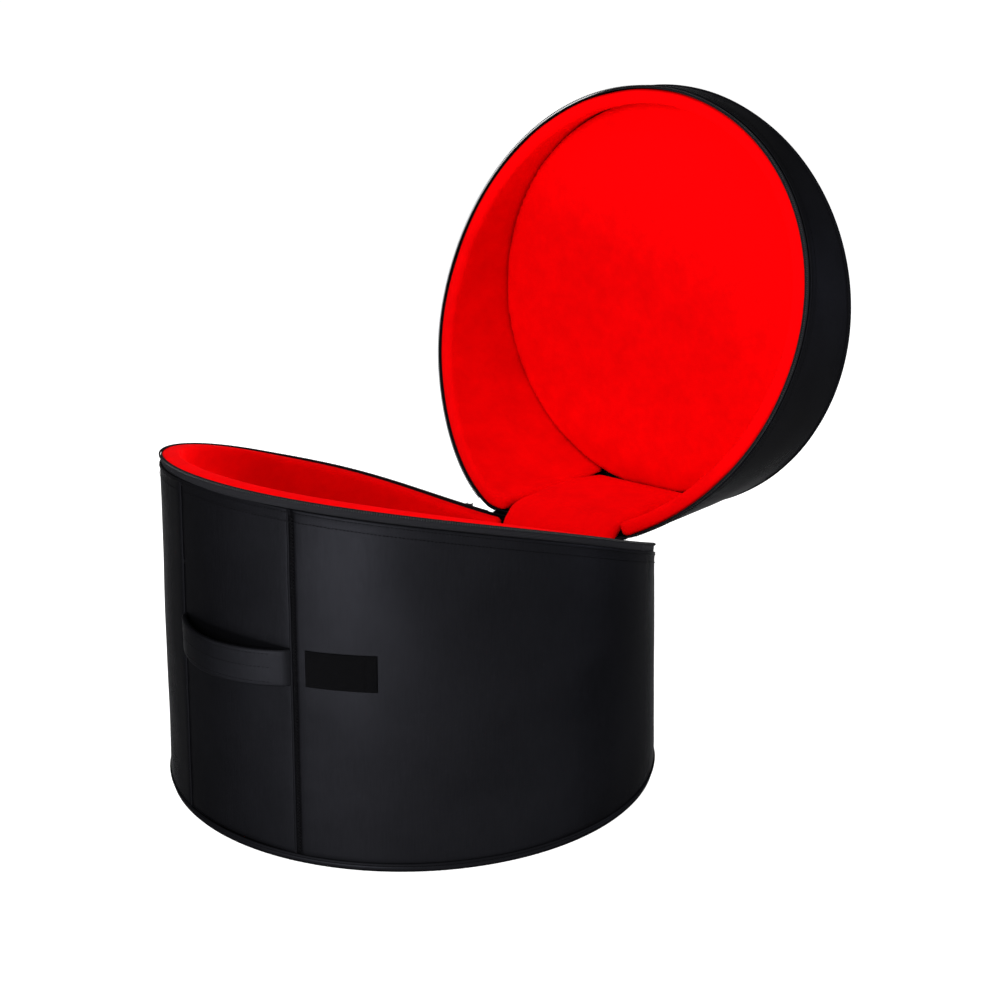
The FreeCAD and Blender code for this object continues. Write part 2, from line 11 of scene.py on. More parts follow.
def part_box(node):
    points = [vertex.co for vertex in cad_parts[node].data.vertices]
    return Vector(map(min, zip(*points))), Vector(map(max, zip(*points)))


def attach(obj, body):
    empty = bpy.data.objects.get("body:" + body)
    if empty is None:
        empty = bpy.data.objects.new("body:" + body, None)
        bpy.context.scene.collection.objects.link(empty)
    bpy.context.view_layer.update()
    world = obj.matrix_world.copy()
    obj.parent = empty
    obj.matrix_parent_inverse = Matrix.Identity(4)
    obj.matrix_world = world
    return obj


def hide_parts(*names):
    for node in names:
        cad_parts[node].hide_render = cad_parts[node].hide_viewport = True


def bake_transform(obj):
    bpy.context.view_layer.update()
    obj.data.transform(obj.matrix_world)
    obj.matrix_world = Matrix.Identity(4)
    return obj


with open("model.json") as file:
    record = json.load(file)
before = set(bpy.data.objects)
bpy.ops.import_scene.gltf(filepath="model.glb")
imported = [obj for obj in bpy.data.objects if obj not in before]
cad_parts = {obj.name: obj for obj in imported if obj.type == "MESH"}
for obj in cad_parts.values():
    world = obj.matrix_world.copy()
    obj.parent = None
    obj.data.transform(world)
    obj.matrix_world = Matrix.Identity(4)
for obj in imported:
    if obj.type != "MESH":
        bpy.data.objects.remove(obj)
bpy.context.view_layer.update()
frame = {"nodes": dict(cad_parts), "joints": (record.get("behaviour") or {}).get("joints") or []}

bl_info = {
    "name": "Padded drum bag",
    "version": (1, 0, 0),
    "blender": (4, 5, 0),
    "location": "3D View > Sidebar > Drum Bag",
    "description": "Builds the cloth, cushions, zipper and handle of a padded drum bag",
    "category": "Object",
}

LID_HINGE = next(joint for joint in frame["joints"] if joint["name"] == "lid_hinge")

# ---- The bag's main forms, in metres ----
WALL_RADIUS = 0.265          # outside, at the floor
MID_RADIUS = 0.261           # outside, at half height
CLOSED_HEIGHT = 0.430        # floor to top, lid closed
TAPER = 0.009 / CLOSED_HEIGHT
RIM_Y, RIM_Z, RIM_RADIUS = -0.53571, -1.308221, 1.70364       # arc of the slanted rim, seen from the side
WAIST_Y, WAIST_Z, WAIST_RADIUS = 1.467883, 0.240271, 1.225267  # hollow of the rear wall, seen from the side
HINGE = Vector(LID_HINGE["pos_m"])
OPENED = (Matrix.Translation(HINGE) @ Matrix.Rotation(math.radians(LID_HINGE["range_deg"][0]), 4, "X")
          @ Matrix.Translation(-HINGE))
CORNER = 0.006               # how softly the round wall turns into the flat rear
SEAM_TURN = math.asin(0.078 / 0.2608)        # seams beside the handle, round from the front
REAR_TURN = math.pi - math.asin(0.094158 / 0.26067)   # where the hinge panel begins
TEETH_TURN = math.radians(153.4)             # where the zipper's teeth end
PAD_TURN = math.pi - math.asin(0.0805 / 0.2475)       # where wall cushion and rear cushion meet
FULL_TURN, FULL_SPREAD = math.radians(126), math.radians(31)   # where the rim stands a little fuller
FULLNESS = 0.0035
CLOTH_THICK = 0.0012
RIM_HEM, END_HEM = 0.0097, 0.0096            # from the rim, and from floor or top, to the cloth's edge
PAD_THICK = 0.0203           # from the outside to the cushions' inner face
PAD_MIDDLE = 0.0115          # middle of the padding's thickness
PAD_SHIFT = 0.015            # how far the rear cushion sits to the right at the hinge
PAD_LEAN = PAD_SHIFT / WALL_RADIUS           # the same, as an angle
HIDDEN_INSET = 0.0065        # how far the rear cushion's hidden face stays inside the outer cloth
RIM_DROP = 0.0042            # how far the cushions' rims stay behind the teeth at the rear
FLOOR_PAD = 0.0045           # height of the floor cushion's hidden face
LID_PAD, LID_PAD_DEPTH = 0.4070, 0.0180      # height of the lid cushion's shown face, and its depth
PIPING_AWAY = 0.0090         # from the floor or top to the middle of its piping
BINDING_SPREAD = 0.405       # half the angle that the bindings at the rear take up
FLAP_HALF, FLAP_TALL = 0.0915, 0.049         # half width and flat height of the hinge cloth
FLAP_OUT = 0.0022            # how far the hinge cloth stands out from the wall
STRAP_Y, STRAP_RADIUS = -0.162477, 0.1164    # arc of the strap, seen from above
STRAP_LOW, STRAP_TOP = 0.181, 0.219
STRAP_RAISE = 0.0050         # how far above their middle the strap sits
STRAP_HALF, STRAP_SUNK = 0.0785, 0.0705      # where it ends, and where it starts to sink into the wall
STRAP_SEWN, STRAP_HINGED = 0.0765, 0.060     # from where its ends hold still, and from where it swings as one
PATCH_WIDE, PATCH_TALL = 0.071, 0.85         # the patch's width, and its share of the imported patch's height
PATCH_TURN, PATCH_RAISE = 0.0085, 0.006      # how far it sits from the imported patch's middle
SWELL_FRAMES = 20            # steps of the cushions' cloth simulation


# ---- Shapes ----
def on_wall(turn, height, inset=0.0, reach=1.0):
    """The wall's point at an angle from the front and a height, with the lid closed."""
    radius = WALL_RADIUS - TAPER * height - inset
    along = -radius * math.cos(turn)
    rear = WAIST_Y - math.sqrt((WAIST_RADIUS + inset) ** 2 - (height - WAIST_Z) ** 2)
    share = min(max(0.5 + (rear - along) / (2 * CORNER), 0.0), 1.0)
    along = rear + (along - rear) * share - CORNER * share * (1 - share)
    return Vector((radius * math.sin(turn) * reach, along * reach, height))


def rim_height(turn, inset=0.0):
    """Height of the zipper line at an angle from the front."""
    height = HINGE.z
    for _ in range(4):
        along = on_wall(turn, height, inset).y
        height = RIM_Z + math.sqrt(RIM_RADIUS ** 2 - (along - RIM_Y) ** 2)
    turned = abs((turn + math.pi) % (2 * math.pi) - math.pi)
    beside = min(abs(turned - FULL_TURN) / FULL_SPREAD, 1.0)
    return height + FULLNESS * math.cos(beside * math.pi / 2) ** 2


def fine(rows, step=0.012, span=0.33):
    """The same rows with more between them, no further apart than a step of a usual height."""
    filled = [rows[0]]
    for row in rows[1:]:
        last = filled[-1]
        length = abs(row[0] - last[0]) * span + abs(row[1] - last[1]) + abs(row[3] - last[3]) * WALL_RADIUS
        parts = max(1, math.ceil(length / step))
        for part in range(1, parts + 1):
            filled.append(tuple(a + (b - a) * part / parts for a, b in zip(last, row)))
    return filled


def wall_shape(rows, low, high, start=-math.pi, end=math.pi, steps=300, ringed=False, relief=None, flat=False,
               rounded=0.0, lean=0.0):
    """Spins a chain of points about the drum's axis and lays it on the wall.

    Each row is (share of the height, height added, inset, reach); relief gives how far a point stands out;
    rounded is how far from its two ends a padded length of wall draws in; lean turns its low edge round.
    """
    whole = end - start > 2 * math.pi - 1e-6
    bm = bmesh.new()
    chain = [bm.verts.new((0.0, -1.0, float(number))) for number in range(len(rows))]
    edges = [bm.edges.new(pair) for pair in zip(chain, chain[1:])]
    if ringed:
        edges.append(bm.edges.new((chain[-1], chain[0])))
    bmesh.ops.rotate(bm, verts=chain, cent=(0, 0, 0), matrix=Matrix.Rotation(start, 3, "Z"))
    bmesh.ops.spin(bm, geom=chain + edges, cent=(0, 0, 0), axis=(0, 0, 1), angle=end - start, steps=steps,
                   use_merge=whole)
    grain = bm.loops.layers.uv.new("grain")
    turns, places = {}, {}
    for vertex in bm.verts:
        turn = math.atan2(vertex.co.x, -vertex.co.y)
        share, added, inset, reach = rows[round(vertex.co.z)]
        ahead = (turn - start) % (2 * math.pi) * WALL_RADIUS
        turn += lean * (1 - share)
        bottom, top = (edge(turn) if callable(edge) else edge for edge in (low, high))
        if rounded:
            from_end = min(ahead, (end - start) * WALL_RADIUS - ahead)
            full = math.sqrt(max(1 - max(1 - from_end / rounded, 0.0) ** 2, 0.02))
            inset = PAD_MIDDLE + (inset - PAD_MIDDLE) * full
            added += (1 - full) * rounded * (1 - 2 * share)
        height = bottom + share * (top - bottom) + added
        out = relief(turn, height, reach) if relief else 0.0
        turns[vertex] = turn
        places[vertex] = on_wall(turn, height, inset - (0 if flat else out), reach)
        if flat:
            places[vertex].z += out
    for face in bm.faces:
        middle = face.calc_center_median()
        about = math.atan2(middle.x, -middle.y)
        for loop in face.loops:
            place = places[loop.vert]
            if flat:
                loop[grain].uv = place.xy
            else:
                turned = (turns[loop.vert] - about + math.pi) % (2 * math.pi) - math.pi
                loop[grain].uv = ((about + turned) * WALL_RADIUS, place.z)
    for vertex, place in places.items():
        vertex.co = place
    if not whole and ringed:
        bmesh.ops.holes_fill(bm, edges=[edge for edge in bm.edges if edge.is_boundary], sides=0)
    bmesh.ops.remove_doubles(bm, verts=bm.verts, dist=1e-6)
    bmesh.ops.recalc_face_normals(bm, faces=bm.faces)
    return bm


def face_outwards(bm):
    """Turns an open wall's faces away from the drum's axis."""
    outward = sum(face.normal.dot(Vector((face.calc_center_median().x, face.calc_center_median().y, 0)))
                  for face in bm.faces)
    if outward < 0:
        bmesh.ops.reverse_faces(bm, faces=bm.faces)
    return bm


def drawn_along(section, stations, closed=True, looped=False):
    """Draws an outline along stations, each a matrix that places the outline's plane."""
    bm = bmesh.new()
    ring = [bm.verts.new((x, y, 0)) for x, y in section]
    edges = [bm.edges.new(pair) for pair in zip(ring, ring[1:])]
    if closed:
        edges.append(bm.edges.new((ring[-1], ring[0])))
    bmesh.ops.spin(bm, geom=ring + edges, cent=(0, 0, 0), axis=(0, 0, 1), dvec=(0, 0, 1), angle=0.0,
                   steps=len(stations) - 1, use_merge=False)
    grain = bm.loops.layers.uv.new("grain")
    spans = [0.0]
    for one, two in zip(stations, stations[1:]):
        spans.append(spans[-1] + (two.translation - one.translation).length)
    around = [0.0]
    for one, two in zip(section, section[1:]):
        around.append(around[-1] + math.dist(one, two))
    keyed = {(round(x, 7), round(y, 7)): length for (x, y), length in zip(section, around)}
    for face in bm.faces:
        for loop in face.loops:
            x, y, z = loop.vert.co
            loop[grain].uv = (spans[round(z)], keyed.get((round(x, 7), round(y, 7)), 0.0))
    for vertex in bm.verts:
        x, y, z = vertex.co
        vertex.co = stations[round(z)] @ Vector((x, y, 0))
    if closed and not looped:
        bmesh.ops.holes_fill(bm, edges=[edge for edge in bm.edges if edge.is_boundary], sides=0)
    bmesh.ops.remove_doubles(bm, verts=bm.verts, dist=1e-6)
    bmesh.ops.recalc_face_normals(bm, faces=bm.faces)
    return bm


def rounded_bar(wide, thick, round_off, parts=4):
    """Outline of a flat bar with rounded corners, thick along X and wide along Y."""
    outline = []
    for corner, (side, up) in enumerate(((1, 1), (-1, 1), (-1, -1), (1, -1))):
        for part in range(parts + 1):
            angle = (corner + part / parts) * math.pi / 2
            outline.append((side * (thick / 2 - round_off) + round_off * math.cos(angle),
                            up * (wide / 2 - round_off) + round_off * math.sin(angle)))
    return outline


def frame_at(place, across, up):
    """Matrix at a place with its X across, its Y up, and its Z along."""
    across = across.normalized()
    along = across.cross(up).normalized()
    up = along.cross(across)
    matrix = Matrix((across, up, along)).transposed().to_4x4()
    matrix.translation = place
    return matrix


def side_plane(across):
    """Matrix of the plane that is seen from the side, at a distance across the bag."""
    return Matrix(((0, 0, 1, across), (1, 0, 0, 0), (0, 1, 0, 0), (0, 0, 0, 1)))


def make(name, bm, body, slot, finish, *nodes):
    """Makes a bmesh a piece of the bag, on its body, with its finish and in the place of its nodes.

    The lid's pieces are made with the lid closed, and opened here.
    """
    if body == "lid":
        bmesh.ops.transform(bm, matrix=OPENED, verts=bm.verts)
    mesh = bpy.data.meshes.new(name)
    bm.to_mesh(mesh)
    bm.free()
    piece = bpy.data.objects.new(name, mesh)
    bpy.context.scene.collection.objects.link(piece)
    mesh.shade_smooth()
    mesh.materials.append(FINISHES[finish]())
    if body:
        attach(piece, body)
    if nodes:
        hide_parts(*nodes)
    return piece


def thicken(piece, thickness, offset=-1.0):
    """Gives a sheet its thickness."""
    solidify = piece.modifiers.new("Thickness", "SOLIDIFY")
    solidify.thickness = thickness
    solidify.offset = offset
    return piece


def settled(piece):
    """The piece's mesh as its modifiers leave it, which then come off."""
    depsgraph = bpy.context.evaluated_depsgraph_get()
    mesh = bpy.data.meshes.new_from_object(piece.evaluated_get(depsgraph))
    piece.modifiers.clear()
    piece.data = mesh
    mesh.shade_smooth()
    return mesh


def plump(piece, cap, voxel, held, pressure=4.0):
    """Swells a cushion as cloth under pressure, and keeps each point within a cap of where it was."""
    remesh = piece.modifiers.new("Remesh", "REMESH")
    remesh.mode = "VOXEL"
    remesh.voxel_size = voxel
    mesh = settled(piece)
    start = [vertex.co.copy() for vertex in mesh.vertices]
    cloth = piece.modifiers.new("Cloth", "CLOTH")
    cloth.settings.use_pressure = True
    cloth.settings.uniform_pressure_force = pressure
    cloth.settings.effector_weights.gravity = 0.0
    cloth.settings.quality = 4
    cloth.settings.mass = 0.3
    cloth.point_cache.frame_start = 1
    cloth.point_cache.frame_end = SWELL_FRAMES
    group = piece.vertex_groups.new(name="held")
    for vertex in mesh.vertices:
        weight = held(vertex.co)
        if weight > 0:
            group.add([vertex.index], weight, "REPLACE")
    cloth.settings.vertex_group_mass = "held"
    for number in range(1, SWELL_FRAMES + 1):
        bpy.context.scene.frame_set(number)
    mesh = settled(piece)
    bpy.context.scene.frame_set(1)
    for vertex, rest in zip(mesh.vertices, start):
        move = vertex.co - rest
        if move.length > cap:
            vertex.co = rest + move * (cap / move.length)
    bm = bmesh.new()
    bm.from_mesh(mesh)
    bmesh.ops.smooth_vert(bm, verts=bm.verts, factor=0.5, use_axis_x=True, use_axis_y=True,
                          use_axis_z=True)
    bm.to_mesh(mesh)
    bm.free()
    piece.vertex_groups.clear()


def beads(name, places, radii, body, slot, finish, *nodes, sides=6, rings=4):
    """Small rounded beads, one at each matrix, such as teeth or stitches."""
    one = bmesh.new()
    bmesh.ops.create_uvsphere(one, u_segments=sides, v_segments=rings, radius=1.0)
    bmesh.ops.scale(one, verts=one.verts, vec=radii)
    bead = bpy.data.meshes.new(f"{name}_bead")
    one.to_mesh(bead)
    one.free()
    bm = bmesh.new()
    for place in places:
        known = len(bm.verts)
        bm.from_mesh(bead)
        bm.verts.ensure_lookup_table()
        bmesh.ops.transform(bm, matrix=place, verts=bm.verts[known:])
    bpy.data.meshes.remove(bead)
    return make(name, bm, body, slot, finish, *nodes)


def turns_apart(pitch, start, end):
    """Angles from start to end, a pitch apart along the wall."""
    count = max(1, round(abs(end - start) * MID_RADIUS / pitch))
    return [start + (end - start) * (number + 0.5) / count for number in range(count)]


def on_rim(turn, drop, inset):
    """Matrix on the wall below or above the rim: X out, Y up, Z along the rim."""
    height = rim_height(turn)
    place = on_wall(turn, height + drop, inset)
    ahead = on_wall(turn + 0.004, rim_height(turn + 0.004) + drop, inset)
    along = (ahead - place).normalized()
    out = Vector((math.sin(turn), -math.cos(turn), 0.0))
    return frame_at(place, out, along.cross(out) * (1 if along.cross(out).z > 0 else -1))


def wander(place, scale, seed=0.0):
    """Smooth noise from -1 to 1 at a place."""
    return noise.noise(Vector(place) * scale + Vector((seed, 1.7 * seed, -seed)))


# ---- Finishes ----
DULL = {"Specular_IOR_Level": 0.006, "Specular_Tint": (0.04, 0.04, 0.05, 1.0)}   # black textiles seen aslant


class Wire:
    """An output of a shader, with which sums and products can be written."""

    def __init__(self, finish, socket):
        self.finish, self.socket = finish, socket

    def joined(self, operation, one, two):
        return self.finish.node("ShaderNodeMath", {"operation": operation}, {0: one, 1: two})

    def __add__(self, other):
        return self.joined("ADD", self, other)

    def __mul__(self, other):
        return self.joined("MULTIPLY", self, other)


class Finish:
    """A material and the nodes that make it."""

    def __init__(self, name, **constants):
        self.material = bpy.data.materials.new(name)
        self.material.use_nodes = True
        self.tree = self.material.node_tree
        self.tree.nodes.clear()
        self.surface = self.tree.nodes.new("ShaderNodeBsdfPrincipled")
        for socket, value in constants.items():
            self.surface.inputs[socket.replace("_", " ")].default_value = value
        output = self.tree.nodes.new("ShaderNodeOutputMaterial")
        self.tree.links.new(self.surface.outputs[0], output.inputs["Surface"])

    def feed(self, socket, value):
        if isinstance(value, Wire):
            self.tree.links.new(value.socket, socket)
        else:
            socket.default_value = value

    def node(self, kind, settings=None, sockets=None, out=0):
        node = self.tree.nodes.new(kind)
        for name, value in (settings or {}).items():
            setattr(node, name, value)
        for name, value in (sockets or {}).items():
            self.feed(node.inputs[name], value)
        return Wire(self, node.outputs[out])

    def place(self):
        return self.node("ShaderNodeTexCoord", out="Object")

    def grain(self):
        parts = self.node("ShaderNodeUVMap", {"uv_map": "grain"})
        split = self.tree.nodes.new("ShaderNodeSeparateXYZ")
        self.tree.links.new(parts.socket, split.inputs[0])
        return Wire(self, split.outputs[0]), Wire(self, split.outputs[1])

    def sine(self, value):
        return self.node("ShaderNodeMath", {"operation": "SINE"}, {0: value})

    def cloudy(self, scale, detail=3.0, stretch=(1, 1, 1), rough=0.5):
        place = self.node("ShaderNodeMapping", None, {"Vector": self.place(), "Scale": stretch})
        return self.node("ShaderNodeTexNoise", None,
                         {"Vector": place, "Scale": scale, "Detail": detail, "Roughness": rough})

    def ranged(self, value, low, high):
        return self.node("ShaderNodeMapRange", None, {"Value": value, "From Min": low, "From Max": high})

    def blend(self, share, one, two):
        return self.node("ShaderNodeMix", {"data_type": "RGBA"}, {"Factor": share, 6: one, 7: two}, out=2)

    def done(self, colour=None, roughness=None, height=None, depth=0.001, strength=1.0):
        if colour is not None:
            self.feed(self.surface.inputs["Base Color"], colour)
        if roughness is not None:
            self.feed(self.surface.inputs["Roughness"], roughness)
        if height is not None:
            sockets = {"Height": height, "Distance": depth, "Strength": strength}
            bump = self.node("ShaderNodeBump", None, sockets)
            self.feed(self.surface.inputs["Normal"], bump)
        return self.material


def shade(name, factor):
    """One of the bag's colours made lighter or darker, with its alpha."""
    colour = getattr(bpy.context.scene.bag_colours, name)
    return tuple(channel * factor for channel in colour[:3]) + (1.0,)


def satin_cloth(name="satin_nylon", tone=1.0, pitch=0.00075, rough=0.45):
    """Black nylon with a fine rib, slubs and slightly uneven gloss."""
    finish = Finish(name, Metallic=0.7, **DULL)
    across, up = finish.grain()
    turn = 2 * math.pi / pitch
    rib = finish.sine(across * turn) * finish.sine(up * (turn * 0.5) + finish.sine(across * turn) * 0.6)
    slubs = finish.cloudy(420.0, 2.0, (1.0, 1.0, 0.12))
    threads = finish.cloudy(900.0, 1.0, (1.0, 1.0, 0.06))
    wear = finish.cloudy(9.0, 4.0)
    colour = finish.blend(finish.ranged(wear, 0.35, 0.7), shade("cloth", 0.82 * tone),
                          shade("cloth", 1.18 * tone))
    colour = finish.blend(threads * 0.35, colour, shade("cloth", 1.9 * tone))
    return finish.done(colour, slubs * 0.10 + wear * 0.08 + (rough - 0.09),
                       rib * 0.12 + slubs * 0.6 + threads * 0.35, 0.00016, 0.75)


def felt_cloth(name="plush_red"):
    """Red brushed plush: a short nap that lies a little unevenly."""
    finish = Finish(name, Specular_IOR_Level=0.02, Sheen_Weight=0.08, Sheen_Roughness=0.5,
                    Sheen_Tint=(1.0, 0.0, 0.01, 1.0))
    pile = finish.cloudy(1300.0, 2.0)
    brushed = finish.cloudy(34.0, 5.0, (1.0, 0.6, 1.0), 0.62)
    broad = finish.cloudy(5.0, 2.0)
    lay = finish.ranged(brushed * 0.7 + broad * 0.3, 0.36, 0.64)
    colour = finish.blend(lay, shade("lining", 0.88), shade("lining", 1.04))
    colour = finish.blend(pile * 0.22, colour, shade("lining", 0.7))
    return finish.done(colour, brushed * 0.1 + 0.86, pile * 0.7 + brushed * 0.5, 0.00035, 0.6)


def woven_tape(name="zipper_tape"):
    """Black herringbone tape."""
    finish = Finish(name, Metallic=0.5, **DULL)
    along, up = finish.grain()
    zigzag = finish.node("ShaderNodeMath", {"operation": "PINGPONG"}, {0: up, 1: 0.0016})
    rib = finish.sine((along + zigzag) * (2 * math.pi / 0.0011))
    fuzz = finish.cloudy(700.0, 2.0)
    colour = finish.blend(rib * 0.5 + 0.5, shade("tape", 0.75), shade("tape", 1.3))
    return finish.done(colour, fuzz * 0.12 + 0.6, rib * 0.6 + fuzz * 0.6, 0.0002, 0.8)


def tooth_plastic(name="tooth_plastic"):
    """Black moulded coil, a little scuffed."""
    finish = Finish(name, Metallic=0.6, **DULL)
    scuff = finish.cloudy(180.0, 3.0)
    colour = finish.blend(scuff, shade("tooth", 0.7), shade("tooth", 1.5))
    return finish.done(colour, scuff * 0.2 + 0.22, scuff, 0.00008, 0.5)


def dark_metal(name="slider_black"):
    """Black lacquered die casting, rubbed thin here and there."""
    finish = Finish(name, Specular_IOR_Level=0.5, Coat_Weight=0.25, Coat_Roughness=0.25)
    rub = finish.cloudy(260.0, 4.0)
    worn = finish.ranged(rub, 0.6, 0.78)
    finish.feed(finish.surface.inputs["Metallic"], worn * 0.6 + 0.3)
    colour = finish.blend(worn, shade("metal", 1.0), (0.12, 0.12, 0.125, 1.0))
    return finish.done(colour, rub * 0.2 + 0.28, rub, 0.00008, 0.5)


def label_weave(name="label_weave"):
    """Dense black woven patch."""
    finish = Finish(name, Metallic=0.3, **DULL)
    across, up = finish.grain()
    step = 2 * math.pi / 0.0006
    weave = finish.sine(across * step) * finish.sine(up * step)
    haze = finish.cloudy(160.0, 3.0)
    colour = finish.blend(weave * 0.5 + 0.5, shade("label", 0.7), shade("label", 1.25))
    return finish.done(colour, haze * 0.1 + 0.55, weave + haze * 0.5, 0.00014, 0.8)


def sewing_thread(name="black_thread"):
    """Twisted black polyester thread."""
    finish = Finish(name, Metallic=0.5, **DULL)
    twist = finish.cloudy(1500.0, 1.0)
    colour = finish.blend(twist, shade("thread", 0.7), shade("thread", 1.5))
    return finish.done(colour, twist * 0.1 + 0.4, twist, 0.0001, 0.5)


def once(builder):
    """Makes a finish the first time that it is asked for."""
    made = []

    def give():
        if not made:
            made.append(builder())
        return made[0]
    return give


FINISHES = {
    "cloth": once(satin_cloth),
    "strap": once(lambda: satin_cloth("strap_nylon", 1.1, 0.0009, 0.5)),
    "piping": once(lambda: satin_cloth("piping_cloth", 0.8, 0.0009, 0.55)),
    "plush": once(felt_cloth),
    "tape": once(woven_tape),
    "tooth": once(tooth_plastic),
    "metal": once(dark_metal),
    "label": once(label_weave),
    "thread": once(sewing_thread),
}


# ---- Settings ----
class BagSizes(bpy.types.PropertyGroup):
    """Sizes of the bag's cloth work that a user may change."""

    wave: bpy.props.FloatProperty(
        name="Cloth wave", description="How far the outer cloth stands in and out between its seams",
        default=0.0013, unit="LENGTH")
    pucker: bpy.props.FloatProperty(
        name="Seam pucker", description="Height of the small gathers beside the seams",
        default=0.0004, unit="LENGTH")
    swell: bpy.props.FloatProperty(
        name="Cushion swell", description="How far the cushions may swell", default=0.004, unit="LENGTH")
    tooth_pitch: bpy.props.FloatProperty(
        name="Tooth pitch", description="Distance between two teeth of the zipper",
        default=0.0024, unit="LENGTH")
    stitch_pitch: bpy.props.FloatProperty(
        name="Stitch pitch", description="Distance between two stitches", default=0.0037, unit="LENGTH")


def tone(name, description, default):
    """A colour setting."""
    return bpy.props.FloatVectorProperty(name=name, description=description, subtype="COLOR", size=4,
                                         min=0, max=1, default=default + (1.0,))


class BagColours(bpy.types.PropertyGroup):
    """Colours of the bag's materials."""

    cloth: tone("Outer cloth", "Black nylon of the walls, ends and strap", (0.0054, 0.0055, 0.0066))
    lining: tone("Lining", "Red plush of the inside", (0.90, 0.0, 0.001))
    tape: tone("Zipper tape", "Woven tape on both sides of the teeth", (0.0135, 0.0135, 0.0155))
    tooth: tone("Teeth", "Moulded zipper teeth", (0.024, 0.024, 0.025))
    metal: tone("Sliders", "Lacquered sliders and pulls", (0.02, 0.02, 0.022))
    label: tone("Patch", "Woven patch beside the handle", (0.0030, 0.0030, 0.0034))
    thread: tone("Thread", "Sewing thread", (0.0035, 0.0035, 0.004))


# ---- The outer cloth ----
def cloth_relief(seams, low, high, seed, flatten):
    """How the outer cloth stands in and out: broad waves, drawn in at its seams, with small gathers beside.

    It is calm at its low and high edge; flatten draws it in between the two seams beside the handle.
    """
    sizes = bpy.context.scene.bag_sizes

    def relief(turn, height, reach):
        bottom, top = (edge(turn) if callable(edge) else edge for edge in (low, high))
        spot = (math.sin(turn), math.cos(turn), height * 3.2)
        out = wander(spot, 2.3, seed) * sizes.wave + wander(spot, 6.0, seed + 4) * sizes.wave * 0.3
        ends = min(height - bottom, top - height)
        arc = turn * WALL_RADIUS
        gather = math.sin(arc * 2 * math.pi / 0.021 + 5 * wander(spot, 5.0, seed + 9))
        uneven = 0.5 + 0.5 * wander(spot, 9.0, seed)
        out += sizes.pucker * gather * math.exp(-max(ends - 0.008, 0) / 0.016) * uneven
        out *= min(max(ends / 0.02, 0.0), 1.0)
        for seam in seams:
            away = abs((turn - seam + math.pi) % (2 * math.pi) - math.pi) * WALL_RADIUS
            out = out * (1 - math.exp(-(away / 0.010) ** 2)) - 0.0009 * math.exp(-(away / 0.005) ** 2)
            drawn = math.sin(height * 2 * math.pi / 0.023 + 4 * wander((height, seam, 0), 30.0, seed))
            out += sizes.pucker * 0.7 * drawn * math.exp(-(away - 0.004) / 0.012) * (away > 0.004)
        if flatten and abs(turn) < SEAM_TURN:
            out -= flatten * math.cos(turn / SEAM_TURN * math.pi / 2) ** 0.8
        return out
    return relief


BASE_CLOTH_ROWS = [
    (0, 0.0096, 0.0016, 1), (0, 0.0099, 0.0006, 1), (0, 0.0112, -0.0001, 1), (0, 0.016, -0.0003, 1),
    (1, -0.016, -0.0003, 1), (1, -0.0125, -0.0008, 1), (1, -0.0108, -0.0011, 1), (1, -0.0099, -0.0007, 1),
    (1, -0.0097, 0.0002, 1), (1, -0.0103, 0.0014, 1)]
LID_CLOTH_ROWS = [
    (0, 0.0103, 0.0014, 1), (0, 0.0097, 0.0002, 1), (0, 0.0099, -0.0007, 1), (0, 0.0108, -0.0011, 1),
    (0, 0.0125, -0.0008, 1), (0, 0.016, -0.0003, 1), (1, -0.016, -0.0003, 1), (1, -0.0112, -0.0001, 1),
    (1, -0.0099, 0.0006, 1), (1, -0.0096, 0.0016, 1)]


def cloth_panel(name, body, start, end, seed, *nodes, flatten=0.0):
    """A panel of the outer cloth between two seams, folded under at the zipper."""
    if body == "lid":
        rows, low, high = LID_CLOTH_ROWS, rim_height, CLOSED_HEIGHT
        hems = lambda turn: rim_height(turn) + RIM_HEM, CLOSED_HEIGHT - END_HEM
    else:
        rows, low, high = BASE_CLOTH_ROWS, 0.0, rim_height
        hems = END_HEM, lambda turn: rim_height(turn) - RIM_HEM
    steps = max(6, round((end - start) * WALL_RADIUS / 0.0065))
    relief = cloth_relief((start, end), *hems, seed, flatten)
    bm = wall_shape(fine(rows, 0.0075), low, high, start, end, steps, relief=relief)
    thicken(make(name, face_outwards(bm), body, "outer_cloth", "cloth", *nodes), CLOTH_THICK)


def end_cloth(name, face, side, body, *nodes):
    """Round end panel, a little slack in its middle, turned up over the wall; side is towards the wall."""
    def slack(turn, height, reach):
        spot = (math.sin(turn) * reach, math.cos(turn) * reach, side)
        calm = max(0.0, 1 - reach ** 6)
        slow, quick = wander(spot, 2.6, 3.0), wander(spot, 11.0, 5.0)
        return side * (0.0005 + 0.0009 * (1 + slow) + 0.0003 * quick) * calm
    rows = [(0, 0, 0.004, 0.0), (0, 0, 0.004, 1.0), (0, side * 0.0009, 0.0018, 1),
            (0, side * 0.0024, 0.0005, 1), (0, side * 0.0045, -0.0001, 1), (0, side * 0.0084, -0.0001, 1)]
    bm = wall_shape(fine(rows, 0.009), face, face, steps=240, relief=slack, flat=True)
    outward = sum(one.normal.z * one.calc_area() for one in bm.faces)
    if outward * side > 0:
        bmesh.ops.reverse_faces(bm, faces=bm.faces)
    thicken(make(name, bm, body, "outer_cloth", "cloth", *nodes), CLOTH_THICK)


